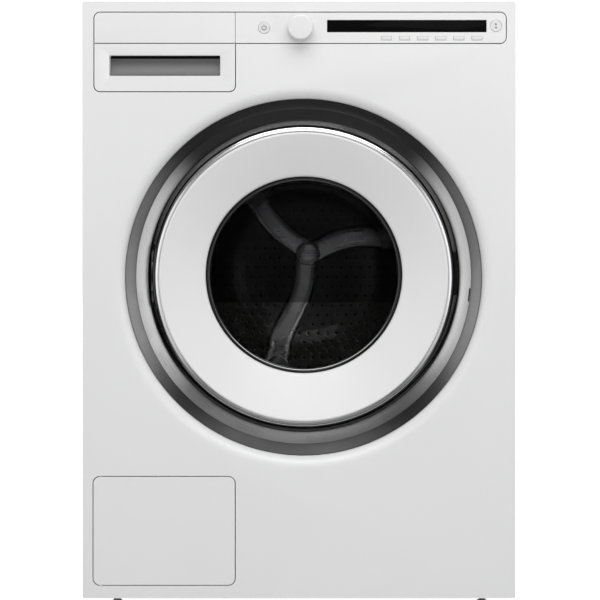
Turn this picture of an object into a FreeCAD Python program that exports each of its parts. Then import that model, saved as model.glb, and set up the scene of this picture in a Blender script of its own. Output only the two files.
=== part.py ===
"""Front-load washing machine, free standing, about 595 x 597 x 850 mm.

Frame: +Z up, origin on the floor under the middle of the machine, front towards -Y.
Lengths are millimetres.  SIZES holds the driving dimensions, DERIVED the places that
follow from them; "depth" always means the distance behind the flat front panel.
"""
import FreeCAD, Part
import math
import os
import re
import Sketcher

SIZES = {
    # cabinet
    "cabinet_width": 595, "cabinet_height": 820, "cabinet_depth": 565,
    "foot_height": 30, "knob_projection": 20, "rear_projection": 12,
    "sheet": 1.2, "corner_round": 3, "front_flange": 18, "side_flange": 13,
    "top_thickness": 12, "seat_gap": 0.3, "panel_gap": 1.2, "seam_gap": 0.6,
    "panel_corner": 8,
    # base, feet and suspension
    "base_floor": 3, "base_wall": 1.5, "base_height": 14, "foot_inset": 42,
    "foot_set_back": 45, "foot_pad_radius": 20, "stud_radius": 5,
    "stud_clearance": 0.3, "strut_spread": 215, "front_strut_depth": 150,
    "rear_strut_depth": 400, "strut_tube_radius": 15, "strut_rod_radius": 5,
    "spring_radius": 21, "spring_wire": 2.5, "spring_turns": 8,
    # porthole and door
    "porthole_x": 6, "porthole_z": 470, "porthole_radius": 246.5, "lip_round": 16,
    "surround_gap": 0.5, "surround_width": 30, "door_gap": 6, "rim_width": 9.5,
    "seal_band": 60.5, "face_depth": 16.5, "window_depth": 45.5, "liner_depth": 54,
    "liner_thickness": 2, "glass_wall": 4, "bowl_depth": 147, "bowl_taper": 35,
    "hinge_depth": 26, "knuckle_radius": 3.2, "hinge_pin_radius": 2,
    "running_gap": 0.05,
    # tub, drum and drive
    "tub_radius": 262, "tub_wall": 2, "tub_front_depth": 80, "tub_rear_depth": 460,
    "collar_depth": 66, "drum_radius": 240, "drum_wall": 1.5,
    "drum_front_depth": 100, "drum_rear_depth": 440,
    "paddle_wall": 2.5, "paddle_turn": 75, "arm_height": 11,
    "shaft_radius": 14.95, "shaft_nose": 12, "bearing_radius": 26,
    "pulley_radius": 150, "pulley_depth": 520, "pulley_width": 12,
    "motor_x": 95, "motor_z": 130, "motor_radius": 56, "motor_pulley_radius": 10.5,
    "belt_thickness": 4,
    # control strip and drawer
    "strip_top_margin": 15.1, "strip_height": 41.9, "strip_right_margin": 13.2,
    "drawer_left_margin": 16.2, "drawer_width": 193.5, "drawer_height": 108.3,
    "front_block": 20, "fascia_thickness": 3, "button_radius": 8, "button_gap": 0.3,
    "knob_radius": 17.4, "key_width": 14.5, "key_height": 5.2,
    "key_pitch": 24.9,
    # filter flap and pump
    "flap_left_margin": 15.1, "flap_bottom": 48.4, "flap_width": 194.2,
    "flap_height": 148.5, "flap_corner": 9, "flap_pin_radius": 1.8, "flap_hinge_inset": 9.5,
    "pump_x": -135, "pump_z": 112, "pump_radius": 36, "pump_wall": 3.5, "hose_bore": 14.3,
    "hose_wall": 3.2, "sump_depth": 100, "drain_hose_radius": 12, "drain_hose_bend": 33,
    # rear
    "service_width": 400, "service_height": 430, "valve_x": -230,
    "nozzle_radius": 13.2, "gland_x": 240, "gland_z": 100, "gland_bore": 4,
}

DERIVED = {
    "front_y": "(knob_projection - cabinet_depth - rear_projection) / 2",
    "rear_y": "front_y + cabinet_depth",
    "half_width": "cabinet_width / 2",
    "top_z": "foot_height + cabinet_height",
    "under_top_z": "top_z - top_thickness",
    "base_z": "foot_height + 3",
    "base_top": "base_z + base_floor",
    "inner_half": "half_width - side_flange - 0.5",
    "strip_top": "top_z - strip_top_margin",
    "strip_bottom": "strip_top - strip_height",
    "strip_right": "half_width - strip_right_margin",
    "strip_left": "drawer_right + seam_gap",
    "drawer_left": "drawer_left_margin - half_width",
    "drawer_right": "drawer_left + drawer_width",
    "drawer_bottom": "strip_top - drawer_height",
    "flap_left": "flap_left_margin - half_width",
    "flap_right": "flap_left + flap_width",
    "flap_top": "flap_bottom + flap_height",
    "flap_hinge_depth": "sheet + flap_pin_radius + seat_gap",
    "surround_inner": "porthole_radius - surround_width",
    "surround_break": "porthole_radius - 14",
    "door_radius": "surround_inner - door_gap",
    "face_radius": "door_radius - rim_width",
    "pivot_x": "porthole_x - door_radius + 2.5",
    "mouth_radius": "door_radius - seal_band",
    "drum_mouth": "mouth_radius + 5",
    "window_radius": "mouth_radius - 12",
    "bowl_radius": "window_radius - bowl_taper",
    "filter_radius": "pump_radius - pump_wall - 0.6",
    "valve_z": "under_top_z - 48",
    "surround_outer": "porthole_radius - surround_gap",
    "lip_centre": "porthole_radius + lip_round",
    "sump_bottom": "porthole_z - tub_radius + 7",
    "strut_top": "porthole_z - sqrt(tub_radius^2 - strut_spread^2) - 38",
    "seat_low": "base_top + 34",
    "seat_high": "strut_top - 20",
    "housing_bottom": "drawer_bottom + 3.4",
    "housing_depth": "front_block + 310",
    "valve_depth": "cabinet_depth - sheet - 45",
    "service_bottom": "porthole_z - service_height / 2 - 5",
    "outlet_z": "top_z - 110",
    "outlet_x": "35.5 - half_width",
}

doc = FreeCAD.newDocument("WashingMachine")
sheet = doc.addObject("Spreadsheet::Sheet", "Sizes")
for row, (alias, number) in enumerate(SIZES.items(), 1):
    sheet.set(f"A{row}", alias)
    sheet.set(f"B{row}", str(number))
    sheet.setAlias(f"B{row}", alias)
doc.recompute()

NODES = {}
WORD = re.compile(r"[a-z][a-z_0-9]*")
Y_AXIS = FreeCAD.Rotation(FreeCAD.Vector(1, 0, 0), -90)
X_AXIS = FreeCAD.Rotation(FreeCAD.Vector(0, 1, 0), 90)
Z_AXIS = FreeCAD.Rotation()


def sized(text):
    """An expression in words from SIZES and DERIVED, as the spreadsheet understands it."""
    def swap(found):
        word = found.group(0)
        if word in DERIVED:
            return "(" + sized(DERIVED[word]) + ")"
        return "Sizes." + word if word in SIZES else word
    return WORD.sub(swap, str(text))


def value(text):
    """The number that an expression has now."""
    return float(sheet.evalExpression(sized(text)))


def depth(text):
    """The row-frame Y of a depth behind the front panel."""
    return f"front_y + ({text})"


def around(text, centre):
    """A place given as an offset from a centre."""
    return f"{centre} + ({text})"


def bind(thing, **cells):
    """Ties properties of a document object to expressions."""
    for name, text in cells.items():
        thing.setExpression(name.replace("__", "."), sized(text))
    return thing


def node(label, thing):
    """Names the finished object of a sub-part."""
    thing.Label = label
    NODES[label] = thing
    return thing


def box(x, y, z, label="block"):
    """A block between two limits on each axis."""
    thing = doc.addObject("Part::Box", label)
    return bind(thing, Length=f"({x[1]}) - ({x[0]})", Width=f"({y[1]}) - ({y[0]})",
                Height=f"({z[1]}) - ({z[0]})", Placement__Base__x=x[0],
                Placement__Base__y=y[0], Placement__Base__z=z[0])


def rod(radius, span, x="porthole_x", y="0", z="porthole_z", turn=Y_AXIS, label="rod"):
    """A cylinder along Y by default, or along X or Z, between two limits."""
    thing = doc.addObject("Part::Cylinder", label)
    thing.Placement.Rotation = turn
    start = {"x": x, "y": y, "z": z}
    start["y" if turn is Y_AXIS else "x" if turn is X_AXIS else "z"] = span[0]
    return bind(thing, Radius=radius, Height=f"({span[1]}) - ({span[0]})",
                Placement__Base__x=start["x"], Placement__Base__y=start["y"],
                Placement__Base__z=start["z"])


def ring(outer, inner, span, label="ring", **place):
    """A tube between two radii."""
    return cut(rod(outer, span, **place), rod(inner, span, **place), label=label)


def cut(base, *tools, label="cut"):
    """The base with the tools taken away."""
    thing = doc.addObject("Part::Cut", label)
    thing.Base = base
    thing.Tool = tools[0] if len(tools) == 1 else fuse(*tools)
    return thing


def fuse(*shapes, label="fused"):
    """Several overlapping shapes made one."""
    thing = doc.addObject("Part::MultiFuse", label)
    thing.Shapes = list(shapes)
    return thing


def common(*shapes, label="common"):
    """What several shapes share."""
    thing = doc.addObject("Part::MultiCommon", label)
    thing.Shapes = list(shapes)
    return thing


def group(*shapes, label="group"):
    """Separate solids kept in one node."""
    thing = doc.addObject("Part::Compound", label)
    thing.Links = list(shapes)
    return thing


def outline(sketch, points):
    """Draws a closed outline whose corners are tied to expressions."""
    spots = [(value(a), value(b)) for a, b in points]
    count = len(spots)
    for i, spot in enumerate(spots):
        sketch.addGeometry(Part.LineSegment(FreeCAD.Vector(*spot, 0),
                                            FreeCAD.Vector(*spots[(i + 1) % count], 0)))
    for i in range(count):
        sketch.addConstraint(Sketcher.Constraint("Coincident", i, 2, (i + 1) % count, 1))
    for i, (spot, texts) in enumerate(zip(spots, points)):
        for kind, number, text in zip("XY", spot, texts):
            at = sketch.addConstraint(
                Sketcher.Constraint("Distance" + kind, -1, 1, i, 1, number))
            sketch.renameConstraint(at, f"{kind}{i}")
            sketch.setExpression(f"Constraints.{kind}{i}", sized(text))


def body_with(label, plane, points):
    """A body holding one sketched outline on one of its own planes."""
    body = doc.addObject("PartDesign::Body", label)
    sketch = body.newObject("Sketcher::SketchObject", label + "_outline")
    support = [o for o in body.Origin.OriginFeatures if o.Role == plane][0]
    sketch.AttachmentSupport = [(support, "")]
    sketch.MapMode = "FlatFace"
    outline(sketch, points)
    return body, sketch


def turned(points, x="porthole_x", y="0", z="porthole_z", upright=False, label="turned"):
    """A profile of (radius, place) corners turned about Y, or about Z if upright."""
    body, sketch = body_with(label, "XZ_Plane" if upright else "XY_Plane", points)
    turn = body.newObject("PartDesign::Revolution", label + "_turn")
    turn.Profile = sketch
    turn.ReferenceAxis = (sketch, ["V_Axis"])
    turn.Angle = 360
    place = {"Placement__Base__x": x}
    place["Placement__Base__y" if upright else "Placement__Base__z"] = y if upright else z
    return bind(body, **place)


def at_depth(points):
    """Profile corners of (radius, depth) as (radius, Y)."""
    return [(radius, depth(behind)) for radius, behind in points]


def plate(x, z, span, radius=None, square=(), label="plate"):
    """A plate facing the front, with rounded corners apart from the square ones.

    square holds corners as (left or right, low or high) sign pairs.
    """
    corners = [(x[0], z[0]), (x[1], z[0]), (x[1], z[1]), (x[0], z[1])]
    body, sketch = body_with(label, "XZ_Plane", corners)
    pad = body.newObject("PartDesign::Pad", label + "_pad")
    pad.Profile = sketch
    pad.Reversed = True
    bind(pad, Length=f"({span[1]}) - ({span[0]})")
    bind(body, Placement__Base__y=span[0])
    if radius is None:
        return body
    doc.recompute()
    middle = ((value(x[0]) + value(x[1])) / 2, (value(z[0]) + value(z[1])) / 2)
    edges = []
    for i, edge in enumerate(pad.Shape.Edges, 1):
        a, b = edge.Vertexes[0].Point, edge.Vertexes[-1].Point
        corner = (math.copysign(1, a.x - middle[0]), math.copysign(1, a.z - middle[1]))
        if abs(a.y - b.y) > 1e-6 and corner not in square:
            edges.append(f"Edge{i}")
    smooth = body.newObject("PartDesign::Fillet", label + "_corners")
    smooth.Base = (pad, edges)
    bind(smooth, Radius=radius)
    body.Tip = smooth
    return body


def corners_of_base():
    """The four strut places as (x, depth) expressions."""
    return [(f"porthole_x {side} strut_spread", behind)
            for side in "-+" for behind in ("front_strut_depth", "rear_strut_depth")]


# ---------------------------------------------------------------- cabinet

def side_panel(label, side):
    """A folded steel side with flanges turned in all round."""
    def limits(inset, reach):
        near, far = f"half_width - {inset}", f"half_width - ({reach})"
        return (far, near) if side > 0 else (f"-({near})", f"-({far})")
    front, rear = depth("front_flange + seat_gap"), "rear_y - sheet - 0.1"
    low, high = "foot_height", "under_top_z - 0.1"
    outer = box(limits("0", "side_flange"), (front, rear), (low, high))
    inner = box(limits("sheet", "side_flange + 1"), (f"{front} + sheet", f"{rear} - sheet"),
                (f"{low} + sheet", f"{high} - sheet"))
    node(label, cut(outer, inner))


def front_panel():
    """Deep-drawn steel front with a rolled porthole lip and three openings."""
    low, high = "foot_height", "top_z"
    blank = plate(("-half_width", "half_width"), (low, high),
                  (depth("0"), depth("front_flange")),
                  "min(corner_round; 2.6 * sheet)", label="front_blank")
    hollow = box(("sheet - half_width", "half_width - sheet"),
                 (depth("sheet"), depth("front_flange + 1")),
                 (f"{low} + sheet", f"{high} - sheet"))
    through = (depth("-5"), depth("sheet + 5"))
    strip_hole = plate(("drawer_left - panel_gap", "strip_right + panel_gap"),
                       ("strip_bottom - panel_gap", "strip_top + panel_gap"), through,
                       "panel_corner + panel_gap", label="strip_hole")
    drawer_hole = plate(("drawer_left - panel_gap", "drawer_right + panel_gap"),
                        ("drawer_bottom - panel_gap", "strip_top + panel_gap"), through,
                        "panel_corner + panel_gap", square=[(1, 1)], label="drawer_hole")
    flap_hole = plate(("flap_left - panel_gap", "flap_right + panel_gap"),
                      ("flap_bottom - panel_gap", "flap_top + panel_gap"), through,
                      "flap_corner + panel_gap", label="flap_hole")
    port = rod("lip_centre", through)
    lip_y = depth("lip_round")
    rolls = []
    for shrink in ("0", "sheet"):
        roll = doc.addObject("Part::Torus", "lip_roll")
        roll.Placement.Rotation = Y_AXIS
        rolls.append(bind(roll, Radius1="lip_centre", Radius2=f"lip_round - {shrink}",
                          Placement__Base__x="porthole_x", Placement__Base__y=lip_y,
                          Placement__Base__z="porthole_z"))
    quarter = rod("lip_centre", (depth("0"), lip_y))
    lip = common(cut(*rolls), quarter)
    collar = ring("porthole_radius + sheet", "porthole_radius", (lip_y, f"{lip_y} + 4"))
    ears = []
    for near, far in (("flap_top + 1.5", "flap_top + 6"),
                      ("flap_bottom - 6", "flap_bottom - 1.5")):
        ear = box(("flap_left - 2", "flap_left + flap_hinge_inset + 6"),
                  (depth("sheet"), depth("9")),
                  (near, far))
        hole = rod("flap_pin_radius + running_gap", (f"{near} - 1", f"{far} + 1"),
                   x="flap_left + flap_hinge_inset", y=depth("flap_hinge_depth"),
                   turn=Z_AXIS)
        ears.append(cut(ear, hole))
    pressed = cut(blank, hollow, port, strip_hole, drawer_hole, flap_hole)
    node("front_panel", fuse(pressed, lip, collar, *ears))


def rear():
    """Rear sheet with its service opening, the bulged cover and its screws."""
    left, right = "porthole_x - service_width / 2", "porthole_x + service_width / 2"
    low, high = "service_bottom", "service_bottom + service_height"
    panel = box(("0.5 - half_width", "half_width - 0.5"), ("rear_y - sheet", "rear_y"),
                ("foot_height", "under_top_z - 0.1"))
    opening = plate((left, right), (low, high), ("rear_y - 5", "rear_y + 5"), "20",
                    label="service_opening")
    holes = [rod("nozzle_radius + 1", ("rear_y - 5", "rear_y + 5"), x="valve_x", z="valve_z"),
             rod("gland_bore + 6.3", ("rear_y - 5", "rear_y + 5"), x="gland_x", z="gland_z"),
             rod("drain_hose_radius + 1", ("rear_y - 5", "rear_y + 5"), x="outlet_x",
                 z="outlet_z")]
    screw_holes, screws = [], []
    spots = [(f"porthole_x {side} (service_width / 2 + 9)", place)
             for side in "-+"
             for place in (f"{low} - 4", "service_bottom + service_height / 2", f"{high} + 4")]
    spots += [("porthole_x", f"{low} - 9"), ("porthole_x", f"{high} + 9")]
    for x, z in spots:
        screw_holes.append(rod("2.2", ("rear_y - 5", "rear_y + 5"), x=x, z=z))
        head = rod("5", ("rear_y + sheet", "rear_y + sheet + 2.6"), x=x, z=z)
        shank = rod("2", ("rear_y - 9", "rear_y + sheet + 1"), x=x, z=z)
        screws.append(fuse(head, shank))
    node("rear_panel", cut(panel, opening, *holes, *screw_holes))
    flange = plate((f"{left} - 16", f"{right} + 16"), (f"{low} - 16", f"{high} + 16"),
                   ("rear_y", "rear_y + sheet"), "24", label="cover_flange")
    bulge = plate((f"{left} + 8", f"{right} - 8"), (f"{low} + 8", f"{high} - 8"),
                  ("rear_y", "rear_y + rear_projection"), "30", label="cover_bulge")
    inside = plate((f"{left} + 8 + sheet", f"{right} - 8 - sheet"),
                   (f"{low} + 8 + sheet", f"{high} - 8 - sheet"),
                   ("rear_y - 1", "rear_y + rear_projection - sheet"), "30 - sheet",
                   label="cover_inside")
    node("rear_service_cover", cut(fuse(flange, bulge), inside, *screw_holes))
    node("cover_screws", group(*screws))


def cabinet():
    """Panels that make the box."""
    side_panel("left_side_panel", -1)
    side_panel("right_side_panel", 1)
    node("top_panel", box(("-half_width", "half_width"),
                          (depth("front_flange + seat_gap"), "rear_y"),
                          ("under_top_z", "top_z")))
    front_panel()
    rear()
    surround = turned(at_depth([
        ("surround_outer", "13"), ("surround_break", "24"), ("surround_inner", "31"),
        ("surround_inner", "50"), ("surround_inner + 1.5", "50"),
        ("surround_inner + 1.5", "34"), ("surround_break + 2", "28"),
        ("surround_outer", "18.5")]), label="surround_ring")
    slot = box(("porthole_x + 228.5", "porthole_x + 232"), (depth("5"), depth("45")),
               ("porthole_z - 35", "porthole_z - 16.5"))
    node("porthole_surround", cut(surround, slot))


def base():
    """Base tray with nut bosses for the feet, and the four screw feet."""
    front, back = depth("front_flange + seat_gap + sheet + 0.5"), "rear_y - 2 * sheet - 1"
    tray = box(("-inner_half", "inner_half"), (front, back), ("base_z", "base_z + base_height"))
    inside = box(("base_wall - inner_half", "inner_half - base_wall"),
                 (f"{front} + base_wall", f"{back} - base_wall"),
                 ("base_top", "base_z + base_height + 1"))
    bosses, holes = [], []
    for end, y in (("front", depth("foot_set_back")), ("rear", "rear_y - foot_set_back")):
        for side, x in (("left", "foot_inset - half_width"),
                        ("right", "half_width - foot_inset")):
            bosses.append(rod("11", ("base_z", "base_top + 6"), x=x, y=y, turn=Z_AXIS))
            holes.append(rod("stud_radius + stud_clearance", ("0", "base_top + 20"),
                             x=x, y=y, turn=Z_AXIS))
            node(f"foot_{end}_{side}", turned([
                ("0", "0"), ("foot_pad_radius", "0"), ("foot_pad_radius + 1", "3"),
                ("foot_pad_radius - 2", "10"), ("11", "13"), ("11", "base_z - 0.3"),
                ("stud_radius", "base_z - 0.3"), ("stud_radius", "base_top + 26"),
                ("0", "base_top + 26")], x=x, y=y, upright=True,
                label=f"foot_{end}_{side}_turned"))
    node("base_tray", cut(fuse(cut(tray, inside), *bosses), *holes))


def coil_spring(radius, wire, height, turns):
    """A coil from Z = 0 upwards, swept one turn at a time and joined."""
    pitch = height / turns
    lead = math.atan2(pitch, 2 * math.pi * radius)
    section = Part.Wire(Part.makeCircle(wire, FreeCAD.Vector(radius, 0, 0),
                                        FreeCAD.Vector(0, math.cos(lead), math.sin(lead))))
    helix = Part.Wire(Part.makeHelix(pitch, pitch, radius).Edges)
    turn = helix.makePipeShell([section], True, True)
    stack = [turn.translated(FreeCAD.Vector(0, 0, i * pitch)) for i in range(turns)]
    return stack[0].multiFuse(stack[1:])


def suspension():
    """Four upright struts: tube on the base, rod under the tub, coil spring between."""
    tubes, rods, springs = [], [], []
    for x, behind in corners_of_base():
        at = {"x": x, "y": depth(behind), "turn": Z_AXIS}
        tubes.append(turned([
            ("0", "base_top"), ("22", "base_top"), ("22", "base_top + 4"),
            ("strut_tube_radius", "base_top + 4"), ("strut_tube_radius", "seat_low - 4"),
            ("spring_radius + 5", "seat_low - 4"), ("spring_radius + 5", "seat_low"),
            ("strut_tube_radius", "seat_low"), ("strut_tube_radius", "base_top + 128"),
            ("strut_rod_radius + 0.3", "base_top + 128"),
            ("strut_rod_radius + 0.3", "base_top + 122"),
            ("strut_tube_radius - 2.5", "base_top + 122"),
            ("strut_tube_radius - 2.5", "base_top + 8"), ("0", "base_top + 8")],
            x=x, y=depth(behind), upright=True, label="strut_tube"))
        stem = rod("strut_rod_radius", ("base_top + 30", "strut_top"), **at)
        piston = rod("strut_tube_radius - 3", ("base_top + 30", "base_top + 40"), **at)
        seat = rod("spring_radius + 5", ("seat_high", "seat_high + 4"), **at)
        rods.append(fuse(stem, piston, seat))
        coil_low = value("seat_low + spring_wire + 0.5")
        coil_high = value("seat_high - spring_wire - 0.5")
        coil = coil_spring(value("spring_radius"), value("spring_wire"),
                           coil_high - coil_low, int(value("spring_turns")))
        coil.translate(FreeCAD.Vector(value(x), value(depth(behind)), coil_low))
        springs.append(coil)
    node("strut_cylinders", group(*tubes))
    node("strut_rods", group(*rods))
    feature = doc.addObject("Part::Feature", "springs")
    feature.Shape = Part.Compound(springs)
    node("strut_springs", feature)


# ---------------------------------------------------------------- door

def door():
    """Cone-faced door with a bright rim, glass bowl, steel liner, seal and hinge."""
    notch = box((around("-4.5", "pivot_x"), around("11", "pivot_x")),
                (depth("face_depth + 3.9"), depth("60")),
                ("porthole_z - 42", "porthole_z + 42"))
    face = turned(at_depth([
        ("face_radius", "face_depth + 7.5"), ("face_radius", "face_depth + 1.5"),
        ("face_radius - 2", "face_depth"), ("window_radius + 2.5", "window_depth"),
        ("window_radius", "window_depth + 2.5"), ("window_radius", "liner_depth - 2.5"),
        ("window_radius + 3", "liner_depth - 2.5"),
        ("window_radius + 3", "window_depth + 3.3"),
        ("face_radius - 2", "face_depth + 3.5"),
        ("face_radius - 2", "face_depth + 7.5")]), label="face")
    node("door_frame", cut(face, notch))
    rim = turned(at_depth([
        ("face_radius + 0.2", "face_depth + 1.5"), ("face_radius + 1.5", "face_depth + 1"),
        ("door_radius - 4", "face_depth + 3.5"), ("door_radius", "face_depth + 13.5"),
        ("door_radius", "liner_depth - 2"),
        ("door_radius - 2", "liner_depth - 2"), ("door_radius - 2", "face_depth + 20"),
        ("face_radius + 0.2", "face_depth + 8")]), label="rim")
    rim_notch = box((around("-4.5", "pivot_x"), around("11", "pivot_x")),
                    (depth("face_depth + 4.5"), depth("60")),
                    ("porthole_z - 42", "porthole_z + 42"))
    node("door_rim", cut(rim, rim_notch))
    node("door_glass", turned(at_depth([
        ("window_radius - 6.5", "liner_depth - 2"), ("window_radius + 4.5", "liner_depth - 2"),
        ("window_radius + 4.5", "liner_depth + liner_thickness"),
        ("window_radius - 1", "liner_depth + liner_thickness"),
        ("bowl_radius + 7", "bowl_depth - 7"), ("bowl_radius", "bowl_depth"),
        ("0", "bowl_depth"), ("0", "bowl_depth - glass_wall"),
        ("bowl_radius - 1.5", "bowl_depth - glass_wall"),
        ("bowl_radius + 3.2", "bowl_depth - glass_wall - 4.5")]), label="bowl"))
    back = depth("liner_depth + liner_thickness")
    liner = turned(at_depth([
        ("window_radius + 5.3", "liner_depth - 1.5"), ("window_radius + 7", "liner_depth - 1.5"),
        ("window_radius + 7", "liner_depth"), ("door_radius - 2.2", "liner_depth"),
        ("door_radius - 2.2", "liner_depth + liner_thickness"),
        ("window_radius + 5.3", "liner_depth + liner_thickness")]), label="liner")
    lug = box((around("8.5", "pivot_x"), around("12", "pivot_x")),
              (depth("hinge_depth - 1.5"), back), ("porthole_z - 20", "porthole_z + 20"))
    web = box(("pivot_x", around("12", "pivot_x")),
              (depth("hinge_depth - 1.5"), depth("hinge_depth + 2.5")),
              ("porthole_z - 20", "porthole_z + 20"))
    knuckle = rod("knuckle_radius", ("porthole_z - 20", "porthole_z + 20"), x="pivot_x",
                  y=depth("hinge_depth"), turn=Z_AXIS)
    foot = box((around("8.5", "pivot_x"), around("20", "pivot_x")),
               (depth("liner_depth"), back), ("porthole_z - 20", "porthole_z + 20"))
    bore = rod("hinge_pin_radius + running_gap", ("porthole_z - 25", "porthole_z + 25"),
               x="pivot_x", y=depth("hinge_depth"), turn=Z_AXIS)
    node("door_inner_ring", cut(fuse(cut(liner, notch), lug, web, knuckle, foot), bore))
    node("door_gasket", ring("mouth_radius + 8", "mouth_radius - 4",
                             (f"{back}", depth("collar_depth - seat_gap"))))
    hook_x = "door_radius - 20.5"
    stem = box((around(hook_x, "porthole_x"), around(f"{hook_x} + 6", "porthole_x")),
               (back, depth("74")), ("porthole_z - 6", "porthole_z + 6"))
    tip = box((around(hook_x, "porthole_x"), around(f"{hook_x} + 13", "porthole_x")),
              (depth("70"), depth("74")), ("porthole_z - 6", "porthole_z + 6"))
    node("latch_hook", fuse(stem, tip))
    arms, holes = [], []
    for low, high in (("-34", "-22"), ("22", "34")):
        z = (around(low, "porthole_z"), around(high, "porthole_z"))
        arm = box((around("-2", "pivot_x"), around("5", "pivot_x")),
                  (depth("hinge_depth"), depth("tub_front_depth - 4")), z)
        eye = rod("knuckle_radius", z, x="pivot_x", y=depth("hinge_depth"), turn=Z_AXIS)
        arms += [arm, eye]
    base_plate = box((around("-42", "pivot_x"), around("5", "pivot_x")),
                     (depth("tub_front_depth - 4"), depth("tub_front_depth")),
                     ("porthole_z - 40", "porthole_z + 40"))
    pin_span = ("porthole_z - 36", "porthole_z + 36")
    hole = rod("hinge_pin_radius + 0.02", pin_span, x="pivot_x", y=depth("hinge_depth"),
               turn=Z_AXIS)
    node("hinge_bracket", cut(fuse(base_plate, *arms), hole))
    node("hinge_pin", rod("hinge_pin_radius", pin_span, x="pivot_x",
                          y=depth("hinge_depth"), turn=Z_AXIS))
    case = box((around(f"{hook_x} - 8", "porthole_x"), around(f"{hook_x} + 26", "porthole_x")),
               (depth("60"), depth("tub_front_depth")), ("porthole_z - 30", "porthole_z + 30"))
    mouth = box((around(f"{hook_x} - 3.5", "porthole_x"),
                 around(f"{hook_x} + 19", "porthole_x")),
                (depth("59"), depth("77.5")), ("porthole_z - 9", "porthole_z + 9"))
    node("door_lock", cut(case, mouth))


# ---------------------------------------------------------------- tub and drum

def tub():
    """Suspended steel tub with its front ring, rear cross, bearings and weights."""
    wall = rod("tub_radius", (depth("tub_front_depth + 3"), depth("tub_rear_depth")))
    room = rod("tub_radius - tub_wall",
               (depth("tub_front_depth + 2"), depth("tub_rear_depth - tub_wall")))
    fittings = []
    for x, behind in corners_of_base():
        fittings.append(box((f"{x} - 18", f"{x} + 18"),
                            (depth(f"{behind} - 15"), depth(f"{behind} + 15")),
                            ("strut_top", "strut_top + 62")))
    inlet = rod("hose_bore - 0.3", ("porthole_z + 75", "porthole_z + 175"), x="valve_x",
                y=depth("285"), turn=Z_AXIS)
    sump = rod("hose_bore + 0.7", ("sump_bottom", "sump_bottom + 47"), x="pump_x",
               y=depth("sump_depth"), turn=Z_AXIS)
    drains = [rod("hose_bore - 2.8", ("porthole_z", "porthole_z + 176"), x="valve_x",
                  y=depth("285"), turn=Z_AXIS),
              rod("hose_bore - 2.3", ("sump_bottom - 1", "porthole_z"), x="pump_x",
                  y=depth("sump_depth"), turn=Z_AXIS)]
    rear_span = (depth("tub_rear_depth - 5"), depth("tub_rear_depth + 5"))
    shaft_hole = rod("30", rear_span)
    probes = [rod("4", rear_span, x=f"porthole_x {side} 22",
                  z="porthole_z - (tub_radius + drum_radius) / 2 + 1") for side in "-+"]
    node("tub_shell", cut(fuse(wall, inlet, sump, *fittings), room, shaft_hole, *drains,
                          *probes))
    node("tub_front", turned(at_depth([
        ("mouth_radius", "collar_depth"), ("mouth_radius + 3", "collar_depth"),
        ("mouth_radius + 3", "tub_front_depth"), ("tub_radius", "tub_front_depth"),
        ("tub_radius", "tub_front_depth + 3"), ("mouth_radius", "tub_front_depth + 3")]),
        label="front_ring"))
    hub_span = (depth("tub_rear_depth"), depth("tub_rear_depth + 52"))
    arms = []
    for turn in (45, -45):
        arm = doc.addObject("Part::Box", "cross_arm")
        arm.Placement.Rotation = FreeCAD.Rotation(FreeCAD.Vector(0, 1, 0), turn)
        arms.append(bind(arm, Length="2 * (tub_radius - 12)", Width="18", Height="36",
                         Placement__Base__y=depth("tub_rear_depth"),
                         Placement__Base__x=f"porthole_x - cos(45) * (tub_radius - 12)"
                         f" - {'sin(45)' if turn > 0 else '-sin(45)'} * 18",
                         Placement__Base__z=f"porthole_z {'+' if turn > 0 else '-'}"
                         " sin(45) * (tub_radius - 12) - cos(45) * 18"))
    hub = rod("bearing_radius + 8", hub_span)
    eye = rod("bearing_radius", (depth("tub_rear_depth - 1"), depth("tub_rear_depth + 53")))
    node("bearing_housing", cut(fuse(hub, *arms), eye))
    bearings = [ring("bearing_radius - 0.02", "shaft_radius + running_gap",
                     (depth(f"tub_rear_depth + {start}"), depth(f"tub_rear_depth + {start + 15}")))
                for start in (2, 35)]
    node("tub_bearings", group(*bearings))
    weight = ring("tub_radius + 4", "door_radius + 8",
                  (depth("52"), depth("tub_front_depth - 1")))
    halves = []
    for low, high in (("-300", "-45"), ("45", "300")):
        halves.append(common(weight, box(
            ("porthole_x - 300", "porthole_x + 300"), (depth("40"), depth("90")),
            (around(low, "porthole_z"), around(high, "porthole_z"))), label="half_ring"))
    node("counterweights", group(*halves))
    loop_z = "porthole_z - (tub_radius + drum_radius) / 2 + 1"
    legs = [rod("3.5", (depth("200"), depth("tub_rear_depth + 10")),
                x=f"porthole_x {side} 22", z=loop_z) for side in "-+"]
    bend = doc.addObject("Part::Torus", "heater_bend")
    bend.Angle3 = 180
    bend.Placement.Rotation = FreeCAD.Rotation(FreeCAD.Vector(0, 0, 1), 180)
    bind(bend, Radius1="22", Radius2="3.5", Placement__Base__x="porthole_x",
         Placement__Base__y=depth("200"), Placement__Base__z=loop_z)
    node("heater", fuse(*legs, bend))


def drum_web(points, span, third):
    """A prism inside the drum on one of its three equal directions."""
    body, sketch = body_with("web", "XZ_Plane", points)
    pad = body.newObject("PartDesign::Pad", "web_pad")
    pad.Profile = sketch
    pad.Reversed = True
    bind(pad, Length=f"({span[1]}) - ({span[0]})")
    body.Placement.Rotation = FreeCAD.Rotation(
        FreeCAD.Vector(0, 1, 0), value("paddle_turn") + 120 * third)
    return bind(body, Placement__Base__x="porthole_x", Placement__Base__y=depth(span[0]),
                Placement__Base__z="porthole_z")


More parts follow.
